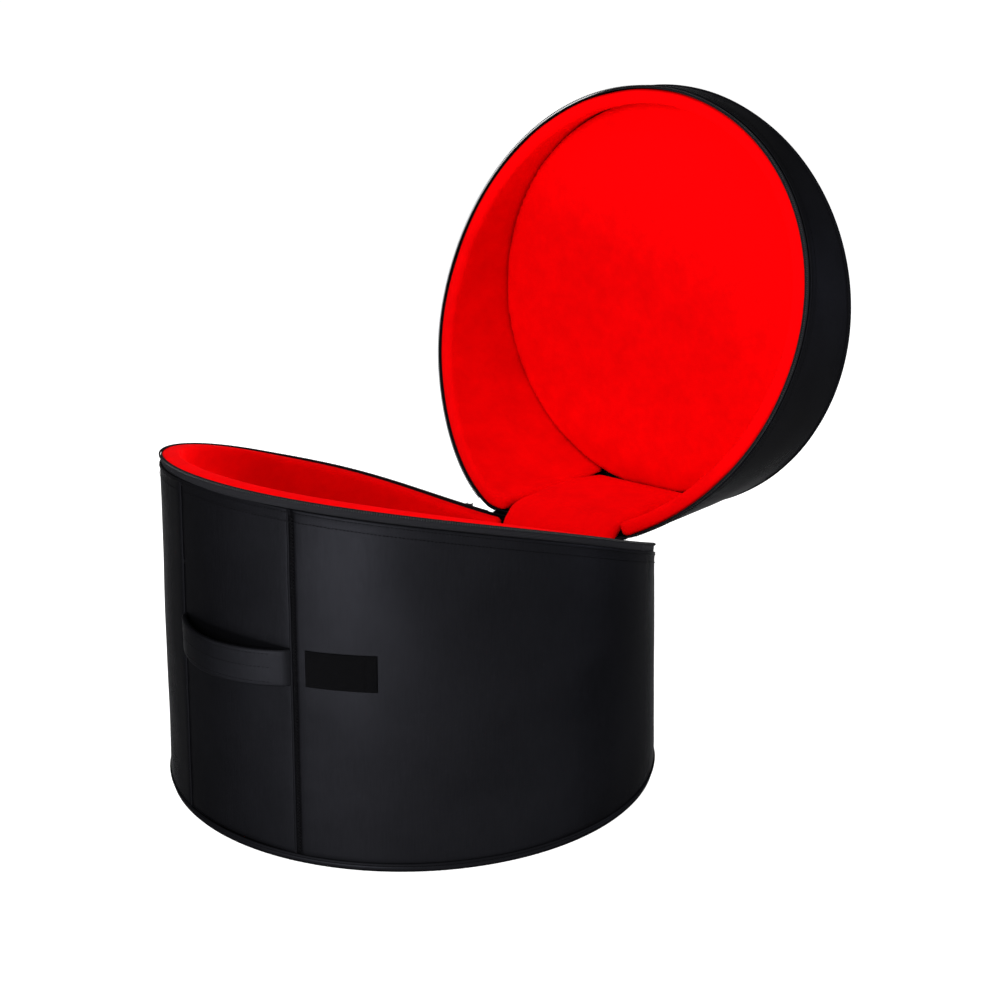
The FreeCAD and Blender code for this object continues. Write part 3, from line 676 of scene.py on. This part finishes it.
def end_piping(name, height, body, *nodes):
    """Piping round an end panel's seam."""
    section = [(0.00185 * math.cos(step * math.pi / 6) - 0.0002, 0.0018 * math.sin(step * math.pi / 6))
               for step in range(12)]
    stations = []
    for number in range(361):
        turn = -math.pi + number * math.pi / 180
        place = on_wall(turn, height, 0.0)
        place += Vector((place.x, place.y, 0)).normalized() * 0.00025 * wander(place, 24.0)
        ahead = on_wall(turn + 0.01, height, 0.0) - on_wall(turn - 0.01, height, 0.0)
        out = Vector((ahead.y, -ahead.x, 0))
        stations.append(frame_at(place, out, Vector((0, 0, 1))))
    stations[-1] = stations[0]
    make(name, drawn_along(section, stations, looped=True), body, "piping", "piping", *nodes)


class DRUMBAG_OT_base_cloth(bpy.types.Operator):
    """Sews the base's outer panels and its underside"""

    bl_idname = "drumbag.base_cloth"
    bl_label = "Base cloth"

    def execute(self, context):
        rear_end = 2 * math.pi - REAR_TURN
        cloth_panel("base_side_cloth_left", "base", -REAR_TURN, -SEAM_TURN, 3.0, "base_side_panel_left")
        cloth_panel("base_side_cloth_right", "base", SEAM_TURN, REAR_TURN, 11.0, "base_side_panel_right")
        cloth_panel("base_handle_cloth", "base", -SEAM_TURN, SEAM_TURN, 17.0, "handle_panel", flatten=0.0022)
        cloth_panel("base_rear_cloth", "base", REAR_TURN, rear_end, 23.0, "base_hinge_panel")
        end_cloth("base_floor_cloth", 0.0, 1, "base", "base_bottom_panel")
        end_piping("base_floor_piping", PIPING_AWAY, "base", "base_bottom_piping")
        return {"FINISHED"}


class DRUMBAG_OT_lid_cloth(bpy.types.Operator):
    """Sews the lid's outer panels and its top"""

    bl_idname = "drumbag.lid_cloth"
    bl_label = "Lid cloth"

    def execute(self, context):
        rear_end = 2 * math.pi - REAR_TURN
        cloth_panel("lid_side_cloth", "lid", -REAR_TURN, REAR_TURN, 31.0, "lid_side_panel")
        cloth_panel("lid_rear_cloth", "lid", REAR_TURN, rear_end, 37.0, "lid_hinge_panel")
        end_cloth("lid_top_cloth", CLOSED_HEIGHT, -1, "lid", "lid_top_panel")
        end_piping("lid_top_bead", CLOSED_HEIGHT - PIPING_AWAY, "lid", "lid_top_piping")
        return {"FINISHED"}


# ---- The cushions ----
BASE_WALL_ROWS = [
    (0, 0, 0.007, 1), (0, 0.012, 0.005, 1), (1, -0.022, 0.004, 1), (1, -0.009, 0.0018, 1),
    (1, -0.0034, 0.0013, 1), (1, -0.0012, 0.0020, 1), (1, -0.0002, 0.0040, 1), (1, 0, 0.0080, 1),
    (1, 0, 0.0125, 1), (1, -0.0002, 0.0172, 1), (1, -0.0010, 0.0198, 1), (1, -0.0032, 0.0214, 1),
    (1, -0.0070, 0.0220, 1), (1, -0.022, 0.0214, 1), (0, 0.014, 0.0203, 1), (0, 0, 0.0190, 1)]
LID_WALL_ROWS = [
    (1, 0, 0.007, 1), (1, -0.012, 0.005, 1), (0, 0.022, 0.004, 1), (0, 0.009, 0.0030, 1),
    (0, 0.0042, 0.0033, 1), (0, 0.0018, 0.0042, 1), (0, 0.0008, 0.0060, 1), (0, 0.0004, 0.0090, 1),
    (0, 0.0004, 0.0125, 1), (0, 0.0008, 0.0168, 1), (0, 0.0024, 0.0190, 1), (0, 0.0052, 0.0200, 1),
    (0, 0.022, 0.0190, 1), (0.5, 0, 0.0165, 1), (1, -0.018, 0.0142, 1), (1, 0, 0.0135, 1)]


def soft_relief(seed, depth, still=None):
    """Slow unevenness of a cushion's cover, which a cushion lacks where it lies still."""
    def relief(turn, height, reach):
        spot = (math.sin(turn) * reach, math.cos(turn) * reach, height * 3.0)
        free = 1.0 if still is None else min(abs(height - still) / 0.01, 1.0)
        return depth * free * (wander(spot, 2.4, seed) + 0.45 * wander(spot, 6.5, seed + 2))
    return relief


def wall_cushion(name, rows, low, high, start, end, body, seed, *nodes):
    """Padded length of wall, with a flat rim and rounded ends."""
    steps = round((end - start) * WALL_RADIUS / 0.004)
    bm = wall_shape(fine(rows, 0.007), low, high, start, end, steps, ringed=True,
                    relief=soft_relief(seed, 0.0009), rounded=0.010, lean=-PAD_LEAN if body == "lid" else 0.0)
    make(name, bm, body, "plush_lining", "plush", *nodes)


def end_cushion(name, rows, face, still, depth, body, seed, *nodes):
    """Round pad on the floor or in the lid, crowned; it stays put up to a depth from its hidden face."""
    relief = soft_relief(seed, 0.0016, still)
    bm = wall_shape(fine(rows, 0.008), face, face, steps=220, relief=relief, flat=True)
    piece = make(name, bm, body, "plush_lining", "plush", *nodes)
    closed = OPENED.inverted() if body == "lid" else Matrix()
    plump(piece, bpy.context.scene.bag_sizes.swell, 0.0055,
          held=lambda place: float(abs((closed @ place).z - still) < depth))


def rear_section():
    """Outline of the rear cushion from the side: up the base, over the hinge, along the lid and back."""
    heights = (0.017, 0.04, 0.07, 0.10, 0.13, 0.155, 0.175, 0.188)
    outline = [on_wall(math.pi, height, PAD_THICK) for height in heights]
    foot = on_wall(math.pi, 0.194, 0.0208)
    head = OPENED @ on_wall(math.pi, 0.232, PAD_THICK)
    bend = Vector((0, foot.y + 0.002, head.z + 0.0015))
    for part in range(11):
        share = part / 10
        outline.append(foot * (1 - share) ** 2 + bend * 2 * share * (1 - share) + head * share ** 2)
    outline += [OPENED @ on_wall(math.pi, height, inset) for height, inset in (
        (0.242, 0.0207), (0.258, 0.0210), (0.278, 0.0212), (0.300, 0.0213), (0.322, 0.0213),
        (0.345, 0.0211), (0.368, 0.0210), (0.385, 0.0208), (0.396, 0.0205), (0.4030, 0.0197),
        (0.4078, 0.0180), (0.4100, 0.0140), (0.4100, 0.0070), (0.402, 0.0035), (0.38, 0.003),
        (0.34, 0.003), (0.30, 0.003), (0.26, 0.0035), (0.238, 0.0060), (0.222, 0.0100))]
    outline += [on_wall(math.pi, 0.192, 0.0100), on_wall(math.pi, 0.177, 0.0060)]
    outline += [on_wall(math.pi, height, 0.003) for height in (0.16, 0.12, 0.08, 0.04, 0.019)]
    return [(place.y, place.z) for place in outline]


def drawn_in(place, inset):
    """The point, drawn in towards the axis where it would lie nearer the outside than an inset."""
    across = Vector((place.x, place.y, 0))
    limit = WALL_RADIUS - TAPER * place.z - inset
    return place if across.length <= limit else Vector((*(across.normalized() * limit).xy, place.z))


def rear_cushion(half=0.0790, rounding=0.009, count=44):
    """One cushion from the base's floor over the hinge to the lid's top, shaped with the lid open."""
    outline = rear_section()
    stations = [side_plane(-half + 2 * half * number / count) for number in range(count + 1)]
    bm = drawn_along(outline, stations)
    core = [Vector((0, *pair)) for pair in outline]
    inner, outer = core[:len(core) * 2 // 3], core[len(core) * 2 // 3:]
    for vertex in bm.verts:
        side = max(1 - (half - abs(vertex.co.x)) / rounding, 0.0)
        full = math.sqrt(max(1 - side ** 2, 0.02))
        place = Vector((0, vertex.co.y, vertex.co.z))
        across = min(outer if place in inner else inner, key=lambda other: (other - place).length_squared)
        middle = (place + across) / 2
        bulge = 0.0012 * wander(vertex.co, 14.0, 71.0)
        toward = (place - middle).normalized()
        along = min(max((place.y - HINGE.y) / 0.17, 0.0), 1.0)
        shift = PAD_SHIFT * (1 - along * along * (3 - 2 * along))
        spot = Vector((vertex.co.x + shift, 0, 0)) + middle + (place - middle) * full + toward * bulge * full
        if spot.y - HINGE.y + spot.z - HINGE.z < 0:
            spot = drawn_in(spot, HIDDEN_INSET)
        else:
            spot = OPENED @ drawn_in(OPENED.inverted() @ spot, HIDDEN_INSET)
        vertex.co = spot
    bmesh.ops.recalc_face_normals(bm, faces=bm.faces)
    piece = make("rear_cushion", bm, None, "plush_lining", "plush", "lid_hinge_pad", "lid_hinge_lining",
                 "base_hinge_pad", "base_hinge_lining")
    plump(piece, bpy.context.scene.bag_sizes.swell * 0.6, 0.005,
          held=lambda place: float(place.y > 0.235 and place.z < 0.212))
    settled(piece)
    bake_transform(piece)


class DRUMBAG_OT_base_cushions(bpy.types.Operator):
    """Pads the base: its wall and its floor"""

    bl_idname = "drumbag.base_cushions"
    bl_label = "Base cushions"

    def execute(self, context):
        wall_cushion("base_wall_cushion", BASE_WALL_ROWS, 0.0160,
                     lambda turn: rim_height(turn) - RIM_DROP * math.sin(turn / 2) ** 2,
                     -PAD_TURN - PAD_LEAN, PAD_TURN - PAD_LEAN, "base", 41.0, "base_wall_pad",
                     "base_wall_lining")
        rows = [(0, 0.0100, 0.021, 0.0), (0, 0.0100, 0.021, 0.9), (0, 0.0092, 0.0222, 0.985),
                (0, 0.007, 0.0218, 1), (0, 0.003, 0.0218, 1), (0, 0.0006, 0.025, 1), (0, 0.0002, 0.025, 0.0)]
        end_cushion("base_floor_cushion", rows, FLOOR_PAD, FLOOR_PAD, 0.0068, "base", 47.0, "base_floor_pad",
                    "base_floor_lining")
        return {"FINISHED"}


class DRUMBAG_OT_lid_cushions(bpy.types.Operator):
    """Pads the lid: its wall and its round top"""

    bl_idname = "drumbag.lid_cushions"
    bl_label = "Lid cushions"

    def execute(self, context):
        wall_cushion("lid_wall_cushion", LID_WALL_ROWS, lambda turn: rim_height(turn) + 0.0015, 0.4220,
                     -PAD_TURN, PAD_TURN, "lid", 53.0, "lid_wall_pad", "lid_wall_lining")
        rows = [(0, -0.002, 0.0130, 0.0), (0, -0.002, 0.0130, 0.80), (0, -0.0013, 0.0130, 0.91),
                (0, -0.0006, 0.0140, 0.96), (0, 0.0008, 0.0146, 0.985), (0, 0.0030, 0.0151, 0.998),
                (0, 0.0060, 0.0151, 1), (0, 0.015, 0.0151, 1), (0, 0.0175, 0.0160, 1),
                (0, LID_PAD_DEPTH, 0.017, 0.9), (0, LID_PAD_DEPTH, 0.017, 0.0)]
        end_cushion("lid_disc_cushion", rows, LID_PAD, LID_PAD + LID_PAD_DEPTH, 0.0145, "lid", 61.0,
                    "lid_disc_pad", "lid_disc_lining")
        return {"FINISHED"}


class DRUMBAG_OT_rear_cushion(bpy.types.Operator):
    """Pads the rear with one cushion that runs over the hinge"""

    bl_idname = "drumbag.rear_cushion"
    bl_label = "Rear cushion"

    def execute(self, context):
        rear_cushion()
        return {"FINISHED"}


# ---- The zipper ----
class DRUMBAG_OT_zipper(bpy.types.Operator):
    """Lays the tapes, sets the teeth and finishes the sliders"""

    bl_idname = "drumbag.zipper"
    bl_label = "Zipper"

    def execute(self, context):
        sizes = context.scene.bag_sizes
        for body, sign in (("base", -1), ("lid", 1)):
            rows = [(0, sign * added, inset, 1) for added, inset in (
                (0.0112, 0.0014), (0.0085, 0.0009), (0.0050, 0.0006), (0.0030, 0.0006), (0.0018, 0.0010),
                (0.0002, 0.0014))]
            bm = wall_shape(rows, rim_height, rim_height, -REAR_TURN, REAR_TURN, 360)
            tape = make(f"{body}_tape", face_outwards(bm), body, "zipper_tape", "tape", f"{body}_zipper_tape")
            thicken(tape, 0.0008)
            places = [on_rim(turn, sign * 0.0014, -0.0004)
                      for turn in turns_apart(sizes.tooth_pitch, -TEETH_TURN, TEETH_TURN)]
            beads(f"{body}_teeth", places, (0.0010, 0.00135, 0.00078), body, "zipper_coil", "tooth",
                  f"{body}_zipper_coil")
        for node in ("zipper_slider_left", "zipper_slider_right", "zipper_pull_left", "zipper_pull_right"):
            frame["nodes"][node].data.materials.clear()
            frame["nodes"][node].data.materials.append(FINISHES["metal"]())
        return {"FINISHED"}


# ---- Seams and stitches ----
def welt(name, turn, body, *nodes):
    """Raised roll of cloth up one seam."""
    section = [(0.0014 * math.cos(angle), 0.0016 * math.sin(angle)) for angle in
               (step * math.pi / 5 for step in range(10))]
    low, high = 0.0098, rim_height(turn) - 0.0102
    stations = []
    for number in range(121):
        height = low + (high - low) * number / 120
        swing = 0.0004 * wander((height, 0, turn), 28.0)
        place = on_wall(turn + swing / WALL_RADIUS, height, 0.0003)
        out = Vector((math.sin(turn), -math.cos(turn), 0))
        stations.append(frame_at(place, out, Vector((math.cos(turn), math.sin(turn), 0))))
    make(name, drawn_along(section, stations), body, "piping", "piping", *nodes)


class DRUMBAG_OT_seams(bpy.types.Operator):
    """Raises the front seams and sews the rows of stitches"""

    bl_idname = "drumbag.seams"
    bl_label = "Seams and stitches"

    def execute(self, context):
        pitch = context.scene.bag_sizes.stitch_pitch
        welt("front_welt_left", -SEAM_TURN, "base", "front_seam_left")
        welt("front_welt_right", SEAM_TURN - 0.0030 / WALL_RADIUS, "base", "front_seam_right")
        for body, sign in (("base", -1), ("lid", 1)):
            places = [on_rim(turn, sign * (drop + 0.0003 * wander((turn, drop, 0), 40.0)), -0.0010)
                      for drop in (0.0128, 0.0215) for turn in turns_apart(pitch, -REAR_TURN, REAR_TURN)]
            beads(f"{body}_topstitch", places, (0.00030, 0.00034, 0.00145), body, "piping", "thread",
                  sides=5, rings=3)
        zigzag, step = [], 0.0017
        turn = SEAM_TURN + 0.0012 / WALL_RADIUS
        out = Vector((math.sin(turn), -math.cos(turn), 0))
        beside = Vector((math.cos(turn), math.sin(turn), 0))
        for number in range(int((rim_height(SEAM_TURN) - 0.030) / step)):
            matrix = frame_at(on_wall(turn, 0.014 + number * step, -0.0001), out, beside)
            zigzag.append(matrix @ Matrix.Rotation(math.radians(48 if number % 2 else -48), 4, "X"))
        beads("front_zigzag", zigzag, (0.0004, 0.00060, 0.0030), "base", "piping", "thread", sides=5, rings=3)
        return {"FINISHED"}


# ---- Hinge ----
class DRUMBAG_OT_hinge(bpy.types.Operator):
    """Binds the edges at the hinge and joins base and lid with cloth"""

    bl_idname = "drumbag.hinge"
    bl_label = "Cloth hinge"

    def execute(self, context):
        turn = math.pi - BINDING_SPREAD
        for body, sign in (("base", -1), ("lid", 1)):
            rows = [(0, sign * added, inset, 1) for added, inset in (
                (0.0105, -0.0001), (0.0100, -0.0009), (0.0055, -0.0012), (0.0030, -0.0007), (0.0017, 0.0000),
                (0.0010, 0.0014), (0.0012, 0.0036))]
            bm = wall_shape(rows, rim_height, rim_height, turn, 2 * math.pi - turn, 60)
            thicken(make(f"{body}_rear_binding", face_outwards(bm), body, "piping", "piping",
                         f"{body}_hinge_binding"), 0.0009)
        outline = [on_wall(math.pi, height, -FLAP_OUT) for height in (0.1805, 0.186, 0.192, 0.198, 0.203)]
        outline += [OPENED @ on_wall(math.pi, height, -FLAP_OUT)
                    for height in (0.211, 0.216, 0.222, 0.228, 0.2335)]
        stations = [side_plane(-FLAP_HALF + 2 * FLAP_HALF * number / 30) for number in range(31)]
        bm = drawn_along([(place.y, place.z) for place in outline], stations, closed=False)
        piece = thicken(make("hinge_cloth", bm, None, "outer_cloth", "cloth", "hinge_flap"), CLOTH_THICK, 0.0)
        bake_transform(piece)
        return {"FINISHED"}


# ---- Handle and patch ----
def strap_station(across, droop=0.0):
    """Matrix on the strap's arc: X outwards, Y up, Z along the strap."""
    angle = math.asin(across / STRAP_RADIUS)
    out = Vector((math.sin(angle), -math.cos(angle), 0))
    sunk = 0.006 * (max(abs(across) - STRAP_SUNK, 0.0) / 0.008) ** 2
    height = (STRAP_LOW + STRAP_TOP) / 2 + STRAP_RAISE + droop
    return frame_at(Vector((0, STRAP_Y, height)) + out * (STRAP_RADIUS - sunk), out, Vector((0, 0, 1)))


def strap_part(name, start, end, body, *nodes):
    """Length of the padded double strap between two distances from its middle."""
    parts = max(6, round(abs(end - start) / 0.003))
    stations = []
    for number in range(parts + 1):
        across = start + (end - start) * number / parts
        droop = -0.0012 * math.cos(across / 0.078 * math.pi / 2) + 0.0005 * wander((across, 0, 0), 20.0)
        stations.append(strap_station(across, droop))
    section = rounded_bar(0.0370, 0.0052, 0.0021, 5)
    bm = drawn_along(section, stations, looped=True)
    bmesh.ops.subdivide_edges(bm, edges=[edge for edge in bm.edges if edge.calc_length() > 0.009], cuts=7,
                              use_grid_fill=True)
    return make(name, bm, body, "webbing", "strap", *nodes)


class DRUMBAG_OT_handle(bpy.types.Operator):
    """Makes the double strap with its sewn ends"""

    bl_idname = "drumbag.handle"
    bl_label = "Handle"

    def execute(self, context):
        strap_part("strap_middle", -STRAP_HINGED, STRAP_HINGED, "handle", "handle_strap")
        for side, word in ((-1, "left"), (1, "right")):
            end = strap_part(f"strap_end_{word}", side * STRAP_HINGED, side * STRAP_HALF, None,
                             f"handle_tab_{word}")
            strap_station(side * STRAP_SEWN).translation
            strap_station(side * STRAP_HINGED).translation
            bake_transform(end)
        pitch = context.scene.bag_sizes.stitch_pitch
        rows = []
        for up in (0.0140, 0.0005, -0.0145):
            count = round(2 * STRAP_HINGED / pitch)
            for number in range(count):
                across = -STRAP_HINGED + 2 * STRAP_HINGED * (number + 0.5) / count
                rows.append(strap_station(across) @ Matrix.Translation((0.0026, up, 0)))
        beads("strap_stitches", rows, (0.0003, 0.00036, 0.00145), "handle", "piping", "thread",
              sides=5, rings=3)
        return {"FINISHED"}


class DRUMBAG_OT_patch(bpy.types.Operator):
    """Sews on the bare woven patch"""

    bl_idname = "drumbag.patch"
    bl_label = "Woven patch"

    def execute(self, context):
        low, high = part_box("label_patch")
        width, height = PATCH_WIDE, (high.z - low.z) * PATCH_TALL
        middle_turn = math.asin((low.x + high.x) / 2 / MID_RADIUS) + PATCH_TURN
        middle_height = (low.z + high.z) / 2 + PATCH_RAISE
        bm = bmesh.new()
        bmesh.ops.create_grid(bm, x_segments=44, y_segments=26, size=0.5)
        grain = bm.loops.layers.uv.new("grain")
        for face in bm.faces:
            for loop in face.loops:
                loop[grain].uv = (loop.vert.co.x * width, loop.vert.co.y * height)
        for vertex in bm.verts:
            across, up = vertex.co.x, vertex.co.y
            edge = min((0.5 - abs(across)) * width, (0.5 - abs(up)) * height)
            raised = 0.0012 - 0.0007 * math.exp(-(edge / 0.0022) ** 2) + 0.0003 * wander((across, up, 0), 3.0)
            raised -= 0.0007 * math.exp(-((across - 0.35) * width / 0.0010) ** 2)
            turn = middle_turn + across * width / MID_RADIUS
            vertex.co = on_wall(turn, middle_height + up * height, -raised)
        bmesh.ops.recalc_face_normals(bm, faces=bm.faces)
        thicken(make("patch", face_outwards(bm), "base", "label_cloth", "label", "label_patch"), 0.0009)
        return {"FINISHED"}


# ---- Stage ----
def lamp(name, size, energy, place, aim):
    """A soft rectangular lamp turned towards a point."""
    data = bpy.data.lights.new(name, "AREA")
    data.shape = "RECTANGLE"
    data.size, data.size_y = size
    data.energy = energy
    light = bpy.data.objects.new(name, data)
    bpy.context.scene.collection.objects.link(light)
    light.location = place
    light.rotation_euler = (Vector(aim) - Vector(place)).to_track_quat("-Z", "Y").to_euler()


def seen_white(tree, lit, seen, kind):
    """Mixes what lights the bag with what the camera, gloss and glass see."""
    rays = tree.nodes.new("ShaderNodeLightPath")
    most = None
    for ray in ("Is Camera Ray", "Is Glossy Ray", "Is Transmission Ray"):
        if most is None:
            most = rays.outputs[ray]
            continue
        node = tree.nodes.new("ShaderNodeMath")
        node.operation = "MAXIMUM"
        tree.links.new(most, node.inputs[0])
        tree.links.new(rays.outputs[ray], node.inputs[1])
        most = node.outputs[0]
    mix = tree.nodes.new("ShaderNodeMixShader")
    tree.links.new(most, mix.inputs[0])
    tree.links.new(lit.outputs[0], mix.inputs[1])
    tree.links.new(seen.outputs[0], mix.inputs[2])
    output = tree.nodes.new(kind)
    tree.links.new(mix.outputs[0], output.inputs["Surface"])


class DRUMBAG_OT_stage(bpy.types.Operator):
    """Sets the floor, the soft light and the camera"""

    bl_idname = "drumbag.stage"
    bl_label = "Stage"

    def execute(self, context):
        scene = context.scene
        scene.view_settings.view_transform = "Standard"
        world = bpy.data.worlds.new("studio")
        scene.world = world
        world.use_nodes = True
        tree = world.node_tree
        tree.nodes.clear()
        lit, seen = (tree.nodes.new("ShaderNodeBackground") for _ in range(2))
        lit.inputs["Strength"].default_value = 0.28
        for background in (lit, seen):
            background.inputs["Color"].default_value = (1, 1, 1, 1)
        seen_white(tree, lit, seen, "ShaderNodeOutputWorld")

        bm = bmesh.new()
        bmesh.ops.create_grid(bm, x_segments=1, y_segments=1, size=60.0)
        mesh = bpy.data.meshes.new("floor")
        bm.to_mesh(mesh)
        bm.free()
        floor = bpy.data.objects.new("floor", mesh)
        scene.collection.objects.link(floor)
        paint = bpy.data.materials.new("white_floor")
        paint.use_nodes = True
        nodes = paint.node_tree.nodes
        nodes.clear()
        matt = nodes.new("ShaderNodeBsdfDiffuse")
        matt.inputs["Color"].default_value = (0.86, 0.86, 0.86, 1)
        glow = nodes.new("ShaderNodeEmission")
        glow.inputs["Strength"].default_value = 0.80
        both = nodes.new("ShaderNodeAddShader")
        paint.node_tree.links.new(matt.outputs[0], both.inputs[0])
        paint.node_tree.links.new(glow.outputs[0], both.inputs[1])
        seen_white(paint.node_tree, matt, both, "ShaderNodeOutputMaterial")
        mesh.materials.append(paint)

        lamp("key", (1.4, 1.2), 60.0, (0.55, -2.9, 1.35), (0, 0.05, 0.3))
        lamp("low", (0.55, 0.14), 11.0, (0.38, -1.22, 0.09), (0.06, -0.26, 0.18))
        lamp("left", (0.8, 1.6), 8.0, (-2.5, -0.7, 1.1), (0, 0.1, 0.3))
        lamp("right", (0.8, 1.6), 80.0, (2.2, 2.1, 0.8), (0.1, 0.3, 0.4))
        lamp("top", (1.8, 1.8), 20.0, (0.1, -0.2, 2.4), (0, 0.1, 0.2))

        camera = bpy.data.objects.new("camera", bpy.data.cameras.new("camera"))
        scene.collection.objects.link(camera)
        camera.data.lens, camera.data.sensor_width = 62.8, 36.0
        camera.location = (1.20466, -1.29926, 0.84183)
        camera.rotation_euler = (math.radians(90 - 17.1409), 0.0, math.radians(39.7488))
        scene.camera = camera
        return {"FINISHED"}


class DRUMBAG_PT_panel(bpy.types.Panel):
    """Lists the settings and the steps that build the bag"""

    bl_idname = "DRUMBAG_PT_panel"
    bl_label = "Drum Bag"
    bl_space_type = "VIEW_3D"
    bl_region_type = "UI"
    bl_category = "Drum Bag"

    def draw(self, context):
        for group in (context.scene.bag_sizes, context.scene.bag_colours):
            for name in group.__annotations__:
                self.layout.prop(group, name)
        for step in STEPS:
            self.layout.operator(step.bl_idname)


STEPS = (DRUMBAG_OT_base_cloth, DRUMBAG_OT_lid_cloth, DRUMBAG_OT_base_cushions, DRUMBAG_OT_lid_cushions,
         DRUMBAG_OT_rear_cushion, DRUMBAG_OT_zipper, DRUMBAG_OT_seams, DRUMBAG_OT_hinge, DRUMBAG_OT_handle,
         DRUMBAG_OT_patch, DRUMBAG_OT_stage)
CLASSES = (BagSizes, BagColours) + STEPS + (DRUMBAG_PT_panel,)


def register():
    for item in CLASSES:
        bpy.utils.register_class(item)
    bpy.types.Scene.bag_sizes = bpy.props.PointerProperty(type=BagSizes)
    bpy.types.Scene.bag_colours = bpy.props.PointerProperty(type=BagColours)


def unregister():
    del bpy.types.Scene.bag_colours
    del bpy.types.Scene.bag_sizes
    for item in reversed(CLASSES):
        bpy.utils.unregister_class(item)


def main():
    """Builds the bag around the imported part."""
    register()
    for step in STEPS:
        group, name = step.bl_idname.split(".")
        getattr(getattr(bpy.ops, group), name)()


if __name__ == "__main__":
    main()
